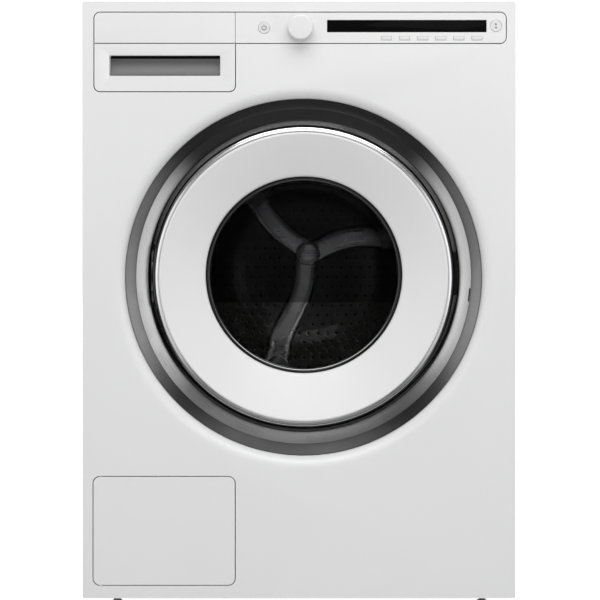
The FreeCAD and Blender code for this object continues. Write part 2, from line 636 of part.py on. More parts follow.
def drum():
    """Steel drum with three paddles, its spider shaft and the belt pulley."""
    node("drum_shell", turned(at_depth([
        ("drum_mouth", "drum_front_depth - 6"),
        ("drum_mouth + drum_wall", "drum_front_depth - 6"),
        ("drum_mouth + drum_wall", "drum_front_depth"), ("drum_radius", "drum_front_depth"),
        ("drum_radius", "drum_rear_depth"), ("0", "drum_rear_depth"),
        ("0", "drum_rear_depth - drum_wall"),
        ("drum_radius - drum_wall", "drum_rear_depth - drum_wall"),
        ("drum_radius - drum_wall", "drum_front_depth + drum_wall"),
        ("drum_mouth", "drum_front_depth + drum_wall")]), label="drum_pot"))
    foot = "sqrt((drum_radius - drum_wall)^2 - 36^2) - 0.5"
    floor = "drum_rear_depth - drum_wall"
    start = "drum_front_depth + 30"
    paddles = []
    for third in range(3):
        skins = []
        for inset in ("0", "paddle_wall"):
            skins.append(drum_web([
                (f"1.4 * {inset} - 36", f"{foot} + {inset}"),
                (f"1.2 * {inset} - 30", f"{foot} - 8"), (f"{inset} - 10", f"{foot} - 52"),
                ("0", f"{foot} - 56 + {inset}"), (f"10 - {inset}", f"{foot} - 52"),
                (f"30 - 1.2 * {inset}", f"{foot} - 8"),
                (f"36 - 1.4 * {inset}", f"{foot} + {inset}")],
                (f"{start} + {inset}", f"{floor} - 2 * {inset}"), third))
        arm = drum_web([("-19", "30"), ("19", "30"), ("27", f"{foot} - 12"),
                        ("-27", f"{foot} - 12")],
                       (f"{floor} - arm_height", floor), third)
        paddles.append(fuse(cut(*skins), arm, label="paddle_and_arm"))
    node("drum_paddles", group(*paddles))
    hub = turned(at_depth([
        ("0", "drum_rear_depth"), ("40", "drum_rear_depth"), ("40", "drum_rear_depth + 8"),
        ("22", "drum_rear_depth + 16"), ("shaft_radius", "drum_rear_depth + 16"),
        ("shaft_radius", "tub_rear_depth + 52"), ("shaft_nose", "tub_rear_depth + 52"),
        ("shaft_nose", "pulley_depth + pulley_width + 4"),
        ("0", "pulley_depth + pulley_width + 4")]), label="shaft")
    arms = []
    for turn in (0, 120, 240):
        arm = doc.addObject("Part::Box", "spider_arm")
        arm.Placement.Rotation = FreeCAD.Rotation(FreeCAD.Vector(0, 1, 0), turn)
        side = math.radians(turn)
        arms.append(bind(arm, Length="30", Width="9", Height="drum_radius - 12",
                         Placement__Base__x=f"porthole_x - 15 * {math.cos(side):.6f}",
                         Placement__Base__y=depth("drum_rear_depth"),
                         Placement__Base__z=f"porthole_z + 15 * {math.sin(side):.6f}"))
    node("drum_shaft", fuse(hub, *arms))
    back = "pulley_depth + pulley_width"
    wheel = turned(at_depth([
        ("shaft_nose + 0.02", "pulley_depth - 2"), ("24", "pulley_depth - 2"),
        ("24", "pulley_depth + 4"), ("pulley_radius - 10", "pulley_depth + 4"),
        ("pulley_radius - 10", "pulley_depth"), ("pulley_radius", "pulley_depth"),
        ("pulley_radius", back), ("pulley_radius - 10", back),
        ("pulley_radius - 10", "pulley_depth + 8"), ("24", "pulley_depth + 8"),
        ("24", back), ("shaft_nose + 0.02", back)]), label="pulley_wheel")
    windows = []
    for i in range(5):
        turn = math.radians(72 * i)
        windows.append(rod("pulley_radius / 5", (depth("pulley_depth - 5"), depth(f"{back} + 5")),
                           x=f"porthole_x + {math.sin(turn):.6f} * pulley_radius * 0.55",
                           z=f"porthole_z + {math.cos(turn):.6f} * pulley_radius * 0.55"))
    node("drum_pulley", cut(wheel, *windows))


def belt_outline(swell):
    """The loop round both pulleys, at a distance outside them, as a face on Y = 0."""
    big = value("pulley_radius") + swell
    small = value("motor_pulley_radius") + swell
    low = FreeCAD.Vector(value("motor_x"), 0, value("motor_z - porthole_z"))
    span, lean = low.Length, math.atan2(low.z, low.x)
    spread = math.acos((big - small) / span)

    def at(centre, radius, angle):
        return centre + FreeCAD.Vector(math.cos(angle), 0, math.sin(angle)) * radius
    origin = FreeCAD.Vector()
    a1, a2 = lean + spread, lean - spread
    edges = [
        Part.Arc(at(origin, big, a1), at(origin, big, lean + math.pi), at(origin, big, a2)),
        Part.LineSegment(at(origin, big, a2), at(low, small, a2)),
        Part.Arc(at(low, small, a2), at(low, small, lean), at(low, small, a1)),
        Part.LineSegment(at(low, small, a1), at(origin, big, a1)),
    ]
    return Part.Face(Part.Wire([edge.toShape() for edge in edges]))


def drive():
    """Motor under the tub, its pulley and the belt."""
    motor_at = {"x": "porthole_x + motor_x", "z": "motor_z"}
    can = turned(at_depth([
        ("6.5", "345"), ("motor_radius - 8", "345"), ("motor_radius", "355"),
        ("motor_radius", "490"), ("motor_radius - 8", "500"), ("6.5", "500")]),
        label="motor_can", **motor_at)
    ears = [box((f"porthole_x + motor_x {a}", f"porthole_x + motor_x {b}"),
                (depth(front), depth(f"{front} + 18")),
                ("motor_z + motor_radius - 6", "porthole_z - tub_radius + 40"))
            for a, b in (("- 30", "- 18"), ("+ 18", "+ 30")) for front in ("365", "435")]
    tub_room = rod("tub_radius + 0.02", (depth("300"), depth("510")))
    node("motor_body", cut(fuse(can, *ears), tub_room))
    node("motor_pulley", turned(at_depth([
        ("0", "350"), ("6", "350"), ("6", "pulley_depth - 4"),
        ("motor_pulley_radius + 2", "pulley_depth - 4"),
        ("motor_pulley_radius + 2", "pulley_depth"), ("motor_pulley_radius", "pulley_depth"),
        ("motor_pulley_radius", "pulley_depth + pulley_width + 2"),
        ("0", "pulley_depth + pulley_width + 2")]), label="rotor", **motor_at))
    loop = belt_outline(0.3 + value("belt_thickness")).cut(belt_outline(0.3))
    width = FreeCAD.Vector(0, value("pulley_width - 1"), 0)
    feature = doc.addObject("Part::Feature", "belt")
    feature.Shape = loop.extrude(width)
    feature.Placement.Base = FreeCAD.Vector(value("porthole_x"),
                                            value(depth("pulley_depth + 0.5")),
                                            value("porthole_z"))
    node("drive_belt", feature)


# ---------------------------------------------------------------- controls and drawer

def controls():
    """Control strip with its window module, knob, two round buttons and six keys."""
    middle = "strip_bottom + strip_height / 2"
    face = plate(("strip_left", "strip_right"), ("strip_bottom", "strip_top"),
                 (depth("0"), depth("fascia_thickness")), "panel_corner",
                 square=[(-1, -1), (-1, 1)], label="strip_face")
    hollow = plate(("strip_left + 2", "strip_right - 2"),
                   ("strip_bottom + 2", "strip_top - 2"),
                   (depth("fascia_thickness"), depth("30")), "panel_corner - 2",
                   square=[(-1, -1), (-1, 1)], label="strip_hollow")
    skirt = cut(plate(("strip_left", "strip_right"), ("strip_bottom", "strip_top"),
                      (depth("fascia_thickness"), depth("9")), "panel_corner",
                      square=[(-1, -1), (-1, 1)], label="strip_skirt"), hollow)
    through = (depth("-5"), depth("20"))
    window_x = ("strip_right - 245.8", "strip_right - 26.5")
    window_z = (f"{middle} - 6.2", f"{middle} + 10.8")
    window = box(window_x, through, window_z)
    holes = [window, rod("6", through, x="strip_left + 89.4", z=middle)]
    round_buttons = {"power_button": ("strip_left + 39.2", middle),
                     "start_button": ("strip_right - 13.5", f"{middle} + 2.6")}
    for label, (x, z) in round_buttons.items():
        holes.append(rod("button_radius + button_gap", through, x=x, z=z))
        node(label, turned(at_depth([
            ("0", "-0.6"), ("button_radius - 0.6", "-0.6"), ("button_radius", "0"),
            ("button_radius", "5.5"), ("0", "5.5")]), x=x, z=z, label=label + "_cap"))
    key_z = "strip_bottom + 6.7"
    for i in range(6):
        x = f"strip_right - 164.2 + {i} * key_pitch"
        for gap, span in (("button_gap", through), ("0", (depth("-0.6"), depth("5.5")))):
            made = plate((f"{x} - key_width / 2 - {gap}", f"{x} + key_width / 2 + {gap}"),
                         (f"{key_z} - key_height / 2 - {gap}",
                          f"{key_z} + key_height / 2 + {gap}"),
                         span, "1.2", label="key")
            if gap == "0":
                node(f"option_key_{i + 1}", made)
            else:
                holes.append(made)
    node("control_fascia", cut(fuse(face, skirt), *holes))
    lens = box(tuple(f"{a} {b} 0.2" for a, b in zip(window_x, "+-")),
               (depth("0.3"), depth("10")), tuple(f"{a} {b} 0.2" for a, b in zip(window_z, "+-")))
    board = box(("strip_left + 12", "strip_right - 5"), (depth("10"), depth("24")),
                ("strip_bottom + 2.5", "strip_top - 2.5"))
    node("display_module", fuse(lens, board))
    node("programme_knob", turned(at_depth([
        ("0", "-knob_projection"), ("knob_radius - 1.2", "-knob_projection"),
        ("knob_radius - 0.2", "1 - knob_projection"), ("knob_radius", "-1.5"),
        ("5.5", "-1.5"), ("5.5", "2"), ("3", "2"), ("3", "9.5"), ("0", "9.5")]),
        x="strip_left + 89.4", z=middle, label="knob"))


def drawer():
    """Detergent drawer and the housing it slides in, with the hose to the tub."""
    block = plate(("drawer_left", "drawer_right"), ("drawer_bottom", "strip_top"),
                  (depth("0"), depth("front_block")), "panel_corner", square=[(1, 1)],
                  label="drawer_block")
    grip = plate(("drawer_left + 20.6", "drawer_right - 20.5"),
                 ("drawer_bottom + 21.2", "drawer_bottom + 49.3"),
                 (depth("-5"), depth("16")), "2", label="grip_recess")
    groove = box(("drawer_left - 5", "drawer_right + 5"), (depth("-5"), depth("0.8")),
                 ("strip_bottom - 1", "strip_bottom"))
    node("drawer_front", cut(block, grip, groove))
    inner_left, inner_right = "drawer_left + 2.4", "drawer_right - 2.4"
    room_low, room_high = "housing_bottom + 2", "under_top_z - 4"
    housing = box((f"{inner_left} - 2", f"{inner_right} + 2"),
                  (depth("front_block + 1.5"), depth("housing_depth")),
                  ("housing_bottom", f"{room_high} + 2"))
    room = box((inner_left, inner_right), (depth("0"), depth("housing_depth - 2")),
               (room_low, room_high))
    hose_at = {"x": "valve_x", "y": depth("285"), "turn": Z_AXIS}
    spout = rod("hose_bore - 0.3", ("housing_bottom - 18", "housing_bottom + 1"), **hose_at)
    outlet = rod("hose_bore - 2.8", ("housing_bottom - 19", room_low), **hose_at)
    node("dispenser_housing", cut(fuse(housing, spout), room, outlet))
    left, right = f"{inner_left} + 1", f"{inner_right} - 1"
    low, high = f"{room_low} + 1", f"{room_low} + 66"
    front, back = "front_block", "housing_depth - 12"
    tray = box((left, right), (depth(front), depth(back)), (low, high))
    bays = []
    walls = [left, f"{left} + 52", f"{left} + 118", right]
    for start, stop in zip(walls, walls[1:]):
        bays.append(box((f"{start} + 1.2", f"{stop} - 1.2"),
                        (depth(f"{front} + 2"), depth(f"{back} - 2")),
                        (f"{low} + 2", f"{high} + 1")))
    node("drawer_box", cut(tray, *bays))
    node("dispenser_hose", ring("hose_bore + hose_wall", "hose_bore",
                                ("porthole_z + 160", "housing_bottom - 8"), **hose_at))


# ---------------------------------------------------------------- pump, flap and rear

def pump():
    """Drain pump behind the flap, its twist-out filter and the two hoses."""
    axis = {"x": "pump_x", "z": "pump_z"}
    case = rod("pump_radius", (depth("26"), depth("120")), **axis)
    motor = rod("pump_radius - 9", (depth("120"), depth("185")), **axis)
    stand = box(("pump_x - 15", "pump_x + 15"), (depth("60"), depth("100")),
                ("base_top", "pump_z - pump_radius + 8"))
    up = {"x": "pump_x", "y": depth("sump_depth"), "turn": Z_AXIS}
    inlet = rod("hose_bore + 0.7", ("pump_z + 20", "pump_z + pump_radius + 22"), **up)
    aside = {"y": depth("105"), "z": "pump_z - 12", "turn": X_AXIS}
    outlet = rod("drain_hose_radius - 3.2", ("pump_x - pump_radius - 14", "pump_x - 20"), **aside)
    bores = [rod("pump_radius - pump_wall", (depth("20"), depth("116")), **axis),
             rod("hose_bore - 2.3", ("pump_z", "pump_z + pump_radius + 23"), **up),
             rod("drain_hose_radius - 5.5", ("pump_x - pump_radius - 15", "pump_x"), **aside)]
    node("drain_pump", cut(fuse(case, motor, stand, inlet, outlet), *bores))
    cap = rod("filter_radius", (depth("22"), depth("34")), **axis)
    bar = box(("pump_x - 24", "pump_x + 24"), (depth("14"), depth("23")),
              ("pump_z - 5", "pump_z + 5"))
    basket = rod("filter_radius - 5", (depth("34"), depth("92")), **axis)
    inside = rod("filter_radius - 8", (depth("36"), depth("93")), **axis)
    slots = [box(("pump_x - 50", "pump_x + 50"), (depth(str(y)), depth(f"{y} + 7")),
                 ("pump_z - 12", "pump_z + 12")) for y in (42, 56, 70)]
    node("pump_filter", cut(fuse(cap, bar, basket), inside, *slots))
    node("sump_hose", ring("hose_bore + 1 + hose_wall", "hose_bore + 1",
                           ("pump_z + pump_radius + 6", "sump_bottom + 15"), **up))
    flap = plate(("flap_left", "flap_right"), ("flap_bottom", "flap_top"),
                 (depth("0"), depth("3")), "flap_corner", label="flap_face")
    hinge_at = {"x": "flap_left + flap_hinge_inset", "y": depth("flap_hinge_depth"),
                "turn": Z_AXIS}
    barrel = rod("2.8", ("flap_bottom + 12", "flap_top - 12"), **hinge_at)
    ends = [box(("flap_left + flap_hinge_inset - 1.8", "flap_left + flap_hinge_inset + 5"),
                (depth("1"), depth("5.3")), span)
            for span in (("flap_bottom + 0.6", "flap_bottom + 13"),
                         ("flap_top - 13", "flap_top - 0.6"))]
    pins = rod("flap_pin_radius", ("flap_bottom - 4.5", "flap_top + 4.5"), **hinge_at)
    ribs = [box(("flap_left + flap_hinge_inset + 6", "flap_right - 12"), (depth("3"), depth("7")),
                (f"flap_bottom + {z}", f"flap_bottom + {z} + 2")) for z in (14, 73, 132)]
    node("filter_flap", fuse(flap, barrel, pins, *ends, *ribs))


def hose_path(points, radius):
    """Straight runs joined by tangent arcs, each arc as large as its runs allow."""
    spots = [FreeCAD.Vector(*(value(c) for c in p)) for p in points]
    edges, start = [], spots[0]
    for before, corner, after in zip(spots, spots[1:], spots[2:]):
        inward = (corner - before).normalize()
        outward = (after - corner).normalize()
        half = inward.getAngle(outward) / 2
        reach = radius * math.tan(half)
        a, b = corner - inward * reach, corner + outward * reach
        bisect = (outward - inward).normalize()
        middle = corner + bisect * (radius / math.cos(half) - radius)
        edges += [Part.LineSegment(start, a), Part.Arc(a, middle, b)]
        start = b
    edges.append(Part.LineSegment(start, spots[-1]))
    return Part.Wire([edge.toShape() for edge in edges])


def services():
    """Water valve, mains gland and the drain hose to the back."""
    body = box(("valve_x - 20", "valve_x + 20"), (depth("valve_depth"), "rear_y - sheet - 0.2"),
               ("valve_z - 20", "valve_z + 20"))
    at = {"x": "valve_x", "z": "valve_z"}
    nozzle = rod("nozzle_radius", ("rear_y - sheet - 1", "rear_y + rear_projection"), **at)
    pipe = rod("9", (depth("housing_depth"), depth("valve_depth + 1")), **at)
    throat = rod("8", ("rear_y - 30", "rear_y + rear_projection + 1"), **at)
    node("inlet_valve", cut(fuse(body, nozzle, pipe), throat))
    node("mains_gland", turned([
        ("gland_bore", "rear_y + 6"), ("gland_bore + 4", "rear_y + 6"),
        ("gland_bore + 9", "rear_y + 2.5"), ("gland_bore + 9", "rear_y + 0.1"),
        ("gland_bore + 6", "rear_y + 0.1"), ("gland_bore + 6", "rear_y - sheet - 8"),
        ("gland_bore", "rear_y - sheet - 8")], x="gland_x", z="gland_z", label="gland"))
    side_x = "outlet_x"
    path = hose_path([
        ("pump_x - pump_radius - 1", depth("105"), "pump_z - 12"),
        (side_x, depth("105"), "pump_z - 12"),
        (side_x, depth("tub_rear_depth + 42"), "pump_z - 12"),
        (side_x, depth("tub_rear_depth + 42"), "outlet_z"),
        (side_x, "rear_y + rear_projection", "outlet_z")], value("drain_hose_bend"))
    hose = []
    for radius in ("drain_hose_radius", "drain_hose_radius - 3"):
        circle = Part.Wire(Part.makeCircle(value(radius), path.Vertexes[0].Point,
                                           FreeCAD.Vector(1, 0, 0)))
        hose.append(path.makePipeShell([circle], True, False))
    feature = doc.addObject("Part::Feature", "hose")
    feature.Shape = hose[0].cut(hose[1])
    cuff = ring("drain_hose_radius + 2", "drain_hose_radius - 1",
                ("rear_y + 0.2", "rear_y + rear_projection"), x=side_x, z="outlet_z")
    node("drain_hose", fuse(feature, cuff))


def check_and_write():
    """Stops at any failed object, then writes one STEP file for each sub-part."""
    doc.recompute()
    failed = [o.Label for o in doc.Objects if {"Invalid", "Error"} & set(o.State)]
    if failed:
        raise RuntimeError(f"failed objects: {failed}")
    os.makedirs("parts", exist_ok=True)
    for label, thing in NODES.items():
        shape = thing.Shape
        if shape.isNull() or not shape.isValid() or not shape.Solids:
            raise RuntimeError(f"{label} has no valid solid")
        shape.exportStep(f"parts/{label}.step")
        print(f"{label}: {len(shape.Solids)} solid(s), {shape.Volume / 1000:.1f} cm3")


for build in (cabinet, base, suspension, door, tub, drum, drive, controls, drawer, pump,
              services):
    build()
check_and_write()
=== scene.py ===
"""A front-loading washing machine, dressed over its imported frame."""
import logging
import math
from dataclasses import dataclass
from enum import Enum

import bmesh
import bpy
import numpy as np
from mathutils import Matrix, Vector


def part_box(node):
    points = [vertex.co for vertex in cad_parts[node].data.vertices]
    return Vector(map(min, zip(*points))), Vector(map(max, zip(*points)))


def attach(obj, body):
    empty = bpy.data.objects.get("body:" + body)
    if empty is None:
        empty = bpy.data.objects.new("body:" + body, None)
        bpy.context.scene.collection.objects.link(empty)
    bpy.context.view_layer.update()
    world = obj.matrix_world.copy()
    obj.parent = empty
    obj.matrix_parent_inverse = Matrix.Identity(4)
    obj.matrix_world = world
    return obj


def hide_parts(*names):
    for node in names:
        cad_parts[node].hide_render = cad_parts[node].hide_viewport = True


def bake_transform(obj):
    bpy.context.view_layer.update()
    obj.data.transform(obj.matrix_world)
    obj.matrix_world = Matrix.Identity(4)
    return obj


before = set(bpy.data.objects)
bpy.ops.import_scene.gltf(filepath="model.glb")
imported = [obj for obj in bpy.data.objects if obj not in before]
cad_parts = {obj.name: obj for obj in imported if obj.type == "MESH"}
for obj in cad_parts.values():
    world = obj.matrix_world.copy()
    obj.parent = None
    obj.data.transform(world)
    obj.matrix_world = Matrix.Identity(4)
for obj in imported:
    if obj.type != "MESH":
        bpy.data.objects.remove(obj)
LOG = logging.getLogger("washing_machine")
MM = 0.001
HOLE_PITCH = 0.0157
HOLE_RADIUS = 0.0021
DRUM_ARC = 0.24
GLASS_IOR = 1.10
# Height of the line, and its tilt with depth, under which the glass is painted lighter: a painted
# reflection.
PAINTED_REFLECTION_LINE = -0.0325
PAINTED_REFLECTION_TILT = 0.109
Array = np.ndarray
Shape = tuple[Array, list[tuple[int, ...]]]
Pair = tuple[float, float]
Triple = tuple[float, float, float]


class Grain(Enum):
    """Which fine pattern a finish carries."""

    PLAIN = "plain"
    DRAWN = "drawn"
    SPUN = "spun"
    HOLED_WALL = "holed wall"
    HOLED_DISC = "holed disc"
    THREAD = "thread"


class Axis(Enum):
    """The direction that a turned piece is turned about."""

    DEPTH = "y"
    UP = "z"


@dataclass(frozen=True)
class Place:
    """The porthole's axis and the plane of the front, in metres."""

    x: float
    z: float
    front: float

    @classmethod
    def from_frame(cls) -> "Place":
        """Reads the axis from the surround's box and the plane from the front panel's."""
        low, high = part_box("porthole_surround")
        return cls((low.x + high.x) / 2, (low.z + high.z) / 2,
                   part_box("front_panel")[0].y)


PLACE = Place.from_frame()


# ------------------------------------------------------------------ surfaces

def softened_corners(points: Array, reach: Array | float, steps: int = 6) -> Array:
    """Rounds the corners of a closed outline.

    Each corner becomes a parabola tangent to its two runs: with a and b the points at the
    given reach along them, and p the corner, the arc is (1-s)^2 a + 2 s (1-s) p + s^2 b.

    Args:
        points: Corners, one row each.
        reach: How far along its runs each corner's arc starts, one value or one per corner.
        steps: Points on each arc.

    Returns:
        The rounded outline, one row for each point.
    """
    corners = np.asarray(points, float)
    back = np.roll(corners, 1, 0) - corners
    ahead = np.roll(corners, -1, 0) - corners
    back_length = np.linalg.norm(back, axis=1, keepdims=True)
    ahead_length = np.linalg.norm(ahead, axis=1, keepdims=True)
    wanted = np.broadcast_to(np.asarray(reach, float).reshape(-1, 1), (len(corners), 1))
    reach_used = np.minimum(np.minimum(back_length, ahead_length) * 0.49, wanted)
    start = (corners + back / back_length * reach_used)[:, None]
    end = (corners + ahead / ahead_length * reach_used)[:, None]
    s = np.linspace(0, 1, steps)[None, :, None]
    arcs = (1 - s) ** 2 * start + 2 * s * (1 - s) * corners[:, None] + s ** 2 * end
    return arcs.reshape(-1, 2)


def loft(sections: Array, closed: bool) -> Shape:
    """Joins a stack of closed sections into one skin.

    Point j of section i meets point j of section i+1, and the last point of a section meets
    its first. A closed stack also joins its last section to its first, and an open one gets
    a flat cap at each end.

    Args:
        sections: Sections by points by three coordinates.
        closed: Whether the stack of sections closes on itself.

    Returns:
        The points and the faces.
    """
    count, size = sections.shape[:2]
    index = np.arange(count * size).reshape(count, size)
    ahead = np.roll(index, -1, 0)
    if not closed:
        ahead, near = ahead[:-1], index[:-1]
    else:
        near = index
    quads = np.stack([near, np.roll(near, -1, 1), np.roll(ahead, -1, 1), ahead], -1)
    faces = [tuple(face) for face in quads.reshape(-1, 4).tolist()]
    if not closed:
        faces.append(tuple(index[0, ::-1].tolist()))
        faces.append(tuple(index[-1].tolist()))
    return sections.reshape(-1, 3), faces


def skin(name: str, parts: list[Shape],
         sharp: float = 40.0) -> bpy.types.Mesh:
    """Makes one closed, outward-facing mesh from lofts.

    Args:
        name: The mesh's name.
        parts: Points and faces of each loft.
        sharp: Edges that turn by more than this many degrees stay sharp.

    Returns:
        The mesh, smooth between its sharp edges.
    """
    mesh = bpy.data.meshes.new(name)
    offset = 0
    points, faces = [], []
    for verts, loops in parts:
        points.append(verts)
        faces += [tuple(i + offset for i in loop) for loop in loops]
        offset += len(verts)
    mesh.from_pydata(np.concatenate(points).tolist(), [], faces)
    tidy = bmesh.new()
    tidy.from_mesh(mesh)
    bmesh.ops.remove_doubles(tidy, verts=tidy.verts, dist=1e-6)
    bmesh.ops.dissolve_degenerate(tidy, edges=tidy.edges, dist=1e-7)
    bmesh.ops.recalc_face_normals(tidy, faces=tidy.faces)
    tidy.to_mesh(mesh)
    tidy.free()
    mesh.shade_smooth()
    mesh.set_sharp_from_angle(angle=math.radians(sharp))
    return mesh


def points_of(node: str) -> Array:
    """The vertices of a CAD node, one row each, in metres."""
    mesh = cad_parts[node].data
    points = np.empty(len(mesh.vertices) * 3)
    mesh.vertices.foreach_get("co", points)
    return points.reshape(-1, 3)


def turned(profile: Array, centre: Pair, origin: float,
           axis: Axis = Axis.DEPTH, segments: int = 224,
           notch: Triple | None = None) -> Shape:
    """Turns a closed profile round an axis.

    A profile point (r, d) at angle t stands at centre + r (cos t, sin t) across the axis and
    at origin + d along it.

    Args:
        profile: Radius and distance along the axis, in millimetres, one row each.
        centre: Where the axis crosses its plane: x and z, or x and y for an upright axis.
        origin: Where distances along the axis start, in metres.
        axis: The direction of the axis.
        segments: Steps round the axis.
        notch: Half height, inner radius and deepest distance kept, in millimetres, of a
            clearance on the hinge side.

    Returns:
        The points and the faces.
    """
    angle = np.linspace(0, 2 * math.pi, segments, endpoint=False)[:, None]
    radius, along = profile[None, :, 0] * MM, profile[None, :, 1] * MM
    across = radius * np.cos(angle)
    up = radius * np.sin(angle)
    along = np.broadcast_to(along, across.shape)
    if notch is not None:
        half, inner, deepest = (value * MM for value in notch)
        inside = (across < -inner) & (np.abs(up) < half)
        along = np.where(inside, np.minimum(along, deepest), along)
    if axis is Axis.DEPTH:
        points = np.stack([centre[0] + across, origin + along, centre[1] + up], -1)
    else:
        points = np.stack([centre[0] + across, centre[1] + up, origin + along], -1)
    return loft(points, True)


def pad(left: float, right: float, low: float, high: float, corner: float,
        rings: list[Pair], steps: int = 8) -> Shape:
    """Stacks rounded rectangles from a front to a back.

    Each ring is the outline moved inwards by its inset, at its depth: four quarter circles of
    radius corner - inset about the same four corner centres.

    Args:
        left, right, low, high: The outline's sides, in metres.
        corner: Its corner radius, in metres.
        rings: Inset and Y of each ring, in metres.
        steps: Points on each quarter circle.

    Returns:
        The points and the faces.
    """
    inset, depth = np.asarray(rings, float).T
    quarter = np.linspace(0, math.pi / 2, steps)
    angle = (quarter[None, :] + np.arange(4)[:, None] * math.pi / 2).reshape(-1)
    centre_x = np.repeat([right - corner, left + corner, left + corner, right - corner], steps)
    centre_z = np.repeat([high - corner, high - corner, low + corner, low + corner], steps)
    reach = np.maximum(corner - inset, 1e-5)[:, None]
    shift = np.minimum(corner - inset, 0)[:, None]
    side_x = np.sign(centre_x - (left + right) / 2)
    side_z = np.sign(centre_z - (low + high) / 2)
    x = centre_x + side_x * shift + reach * np.cos(angle)
    z = centre_z + side_z * shift + reach * np.sin(angle)
    y = np.broadcast_to(depth[:, None], x.shape)
    return loft(np.stack([x, y, z], -1), False)


def slab(inner: Array, outer: Array, near: float, far: float) -> Shape:
    """A thin flat strip between two lines drawn across the front.

    Point i of each line makes a four-cornered section between the near and the far plane.

    Args:
        inner: X and Z of one edge, in metres.
        outer: X and Z of the other edge, in metres.
        near: Y of the face.
        far: Y of the back.

    Returns:
        The points and the faces.
    """
    lines = np.stack([inner, outer, outer, inner], 1)
    depth = np.broadcast_to(np.array([near, near, far, far]), lines.shape[:2])
    return loft(np.stack([lines[..., 0], depth, lines[..., 1]], -1), False)


def coil(centre: Pair, low: float, high: float, radius: float, wire: float,
         turns: float) -> Shape:
    """A helical spring about an upright axis.

    The wire's line is at radius r and angle 2 pi turns t, and rises evenly except over its end
    coils, which close up; the wire's circle stands in the plane of the axis.
    """
    t = np.linspace(0, 1, int(48 * turns))
    angle = 2 * math.pi * turns * t
    rise = low + wire + (high - low - 2 * wire) * (t + 0.045 * np.sin(2 * math.pi * t) * -1)
    ring = np.linspace(0, 2 * math.pi, 12, endpoint=False)
    out = radius + wire * np.cos(ring)[None, :]
    x = centre[0] + out * np.cos(angle)[:, None]
    y = centre[1] + out * np.sin(angle)[:, None]
    z = rise[:, None] + wire * np.sin(ring)[None, :]
    return loft(np.stack([x, y, z], -1), False)


def softened(node: str, width: float, turn: float = 36.0) -> bpy.types.Object:
    """A copy of a CAD node with its edges broken.

    Args:
        node: The node's name.
        width: The edge radius, in metres.
        turn: Edges that turn by more than this many degrees are broken.

    Returns:
        The new object, with a live Bevel modifier.
    """
    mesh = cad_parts[node].data.copy()
    mesh.name = f"{node}_soft"
    tidy = bmesh.new()
    tidy.from_mesh(mesh)
    bmesh.ops.remove_doubles(tidy, verts=tidy.verts, dist=2e-6)
    bmesh.ops.dissolve_limit(tidy, angle_limit=math.radians(0.3), verts=tidy.verts,
                             edges=tidy.edges, delimit=set())
    tidy.to_mesh(mesh)
    tidy.free()
    mesh.shade_smooth()
    mesh.set_sharp_from_angle(angle=math.radians(turn))
    thing = bpy.data.objects.new(f"{node}_finished", mesh)
    bevel = thing.modifiers.new("broken_edges", "BEVEL")
    bevel.width = width
    bevel.segments = 2
    bevel.limit_method = "ANGLE"
    bevel.angle_limit = math.radians(turn)
    bevel.harden_normals = True
    bevel.use_clamp_overlap = True
    return thing


# ------------------------------------------------------------------ finishes

class Graph:
    """A node tree with short ways to add and join nodes."""

    def __init__(self, tree: bpy.types.NodeTree) -> None:
        """Keeps the tree."""
        self.tree = tree

    def add(self, kind: str, **settings: object) -> bpy.types.Node:
        """Adds a node of a kind and sets its properties."""
        node = self.tree.nodes.new(kind)
        for key, value in settings.items():
            setattr(node, key, value)
        return node

    def join(self, source: object, socket: bpy.types.NodeSocket) -> None:
        """Joins an output to a socket, or writes a plain value into it."""
        if isinstance(source, bpy.types.NodeSocket):
            self.tree.links.new(source, socket)
        else:
            socket.default_value = source

    def sum(self, operation: str, first: object, second: object = 0.0,
            third: object = 0.0) -> bpy.types.NodeSocket:
        """The output of a Math node."""
        node = self.add("ShaderNodeMath", operation=operation)
        self.join(first, node.inputs[0])
        self.join(second, node.inputs[1])
        self.join(third, node.inputs[2])
        return node.outputs[0]

    def span(self, value: object, low: object, high: object, start: float = 0.0,
             end: float = 1.0) -> bpy.types.NodeSocket:
        """A value from start..end carried to low..high."""
        node = self.add("ShaderNodeMapRange", interpolation_type="SMOOTHSTEP")
        self.join(value, node.inputs["Value"])
        node.inputs["From Min"].default_value = start
        node.inputs["From Max"].default_value = end
        self.join(low, node.inputs["To Min"])
        self.join(high, node.inputs["To Max"])
        return node.outputs["Result"]

    def tint(self, share: object, first: object, second: object) -> bpy.types.NodeSocket:
        """A mix of two colours."""
        node = self.add("ShaderNodeMix", data_type="RGBA")
        self.join(share, node.inputs[0])
        self.join(first, node.inputs[6])
        self.join(second, node.inputs[7])
        return node.outputs[2]

    def noise(self, vector: object, scale: object, detail: float) -> bpy.types.NodeSocket:
        """The value of a Noise Texture."""
        node = self.add("ShaderNodeTexNoise")
        self.join(vector, node.inputs["Vector"])
        self.join(scale, node.inputs["Scale"])
        node.inputs["Detail"].default_value = detail
        return node.outputs[0]

    def effect(self, name: str, **values: object) -> bpy.types.Node:
        """Places a shared effect with its own values."""
        node = self.add("ShaderNodeGroup", node_tree=effect_tree(name))
        for key, value in values.items():
            self.join(value, node.inputs[key.replace("_", " ").title()])
        return node


def new_effect(name: str, inputs: dict[str, str], outputs: tuple[str, ...]
               ) -> tuple[Graph, bpy.types.Node, bpy.types.Node]:
    """Starts a node group with named sockets.

    Args:
        name: The group's name.
        inputs: Socket name to NodeSocketFloat or NodeSocketVector.
        outputs: Names of the values that it puts out.

    Returns:
        Its graph, its input node and its output node.
    """
    tree = bpy.data.node_groups.new(name, "ShaderNodeTree")
    for title, kind in inputs.items():
        tree.interface.new_socket(title, in_out="INPUT", socket_type=kind)
    for title in outputs:
        tree.interface.new_socket(title, in_out="OUTPUT", socket_type="NodeSocketFloat")
    graph = Graph(tree)
    return graph, graph.add("NodeGroupInput"), graph.add("NodeGroupOutput")


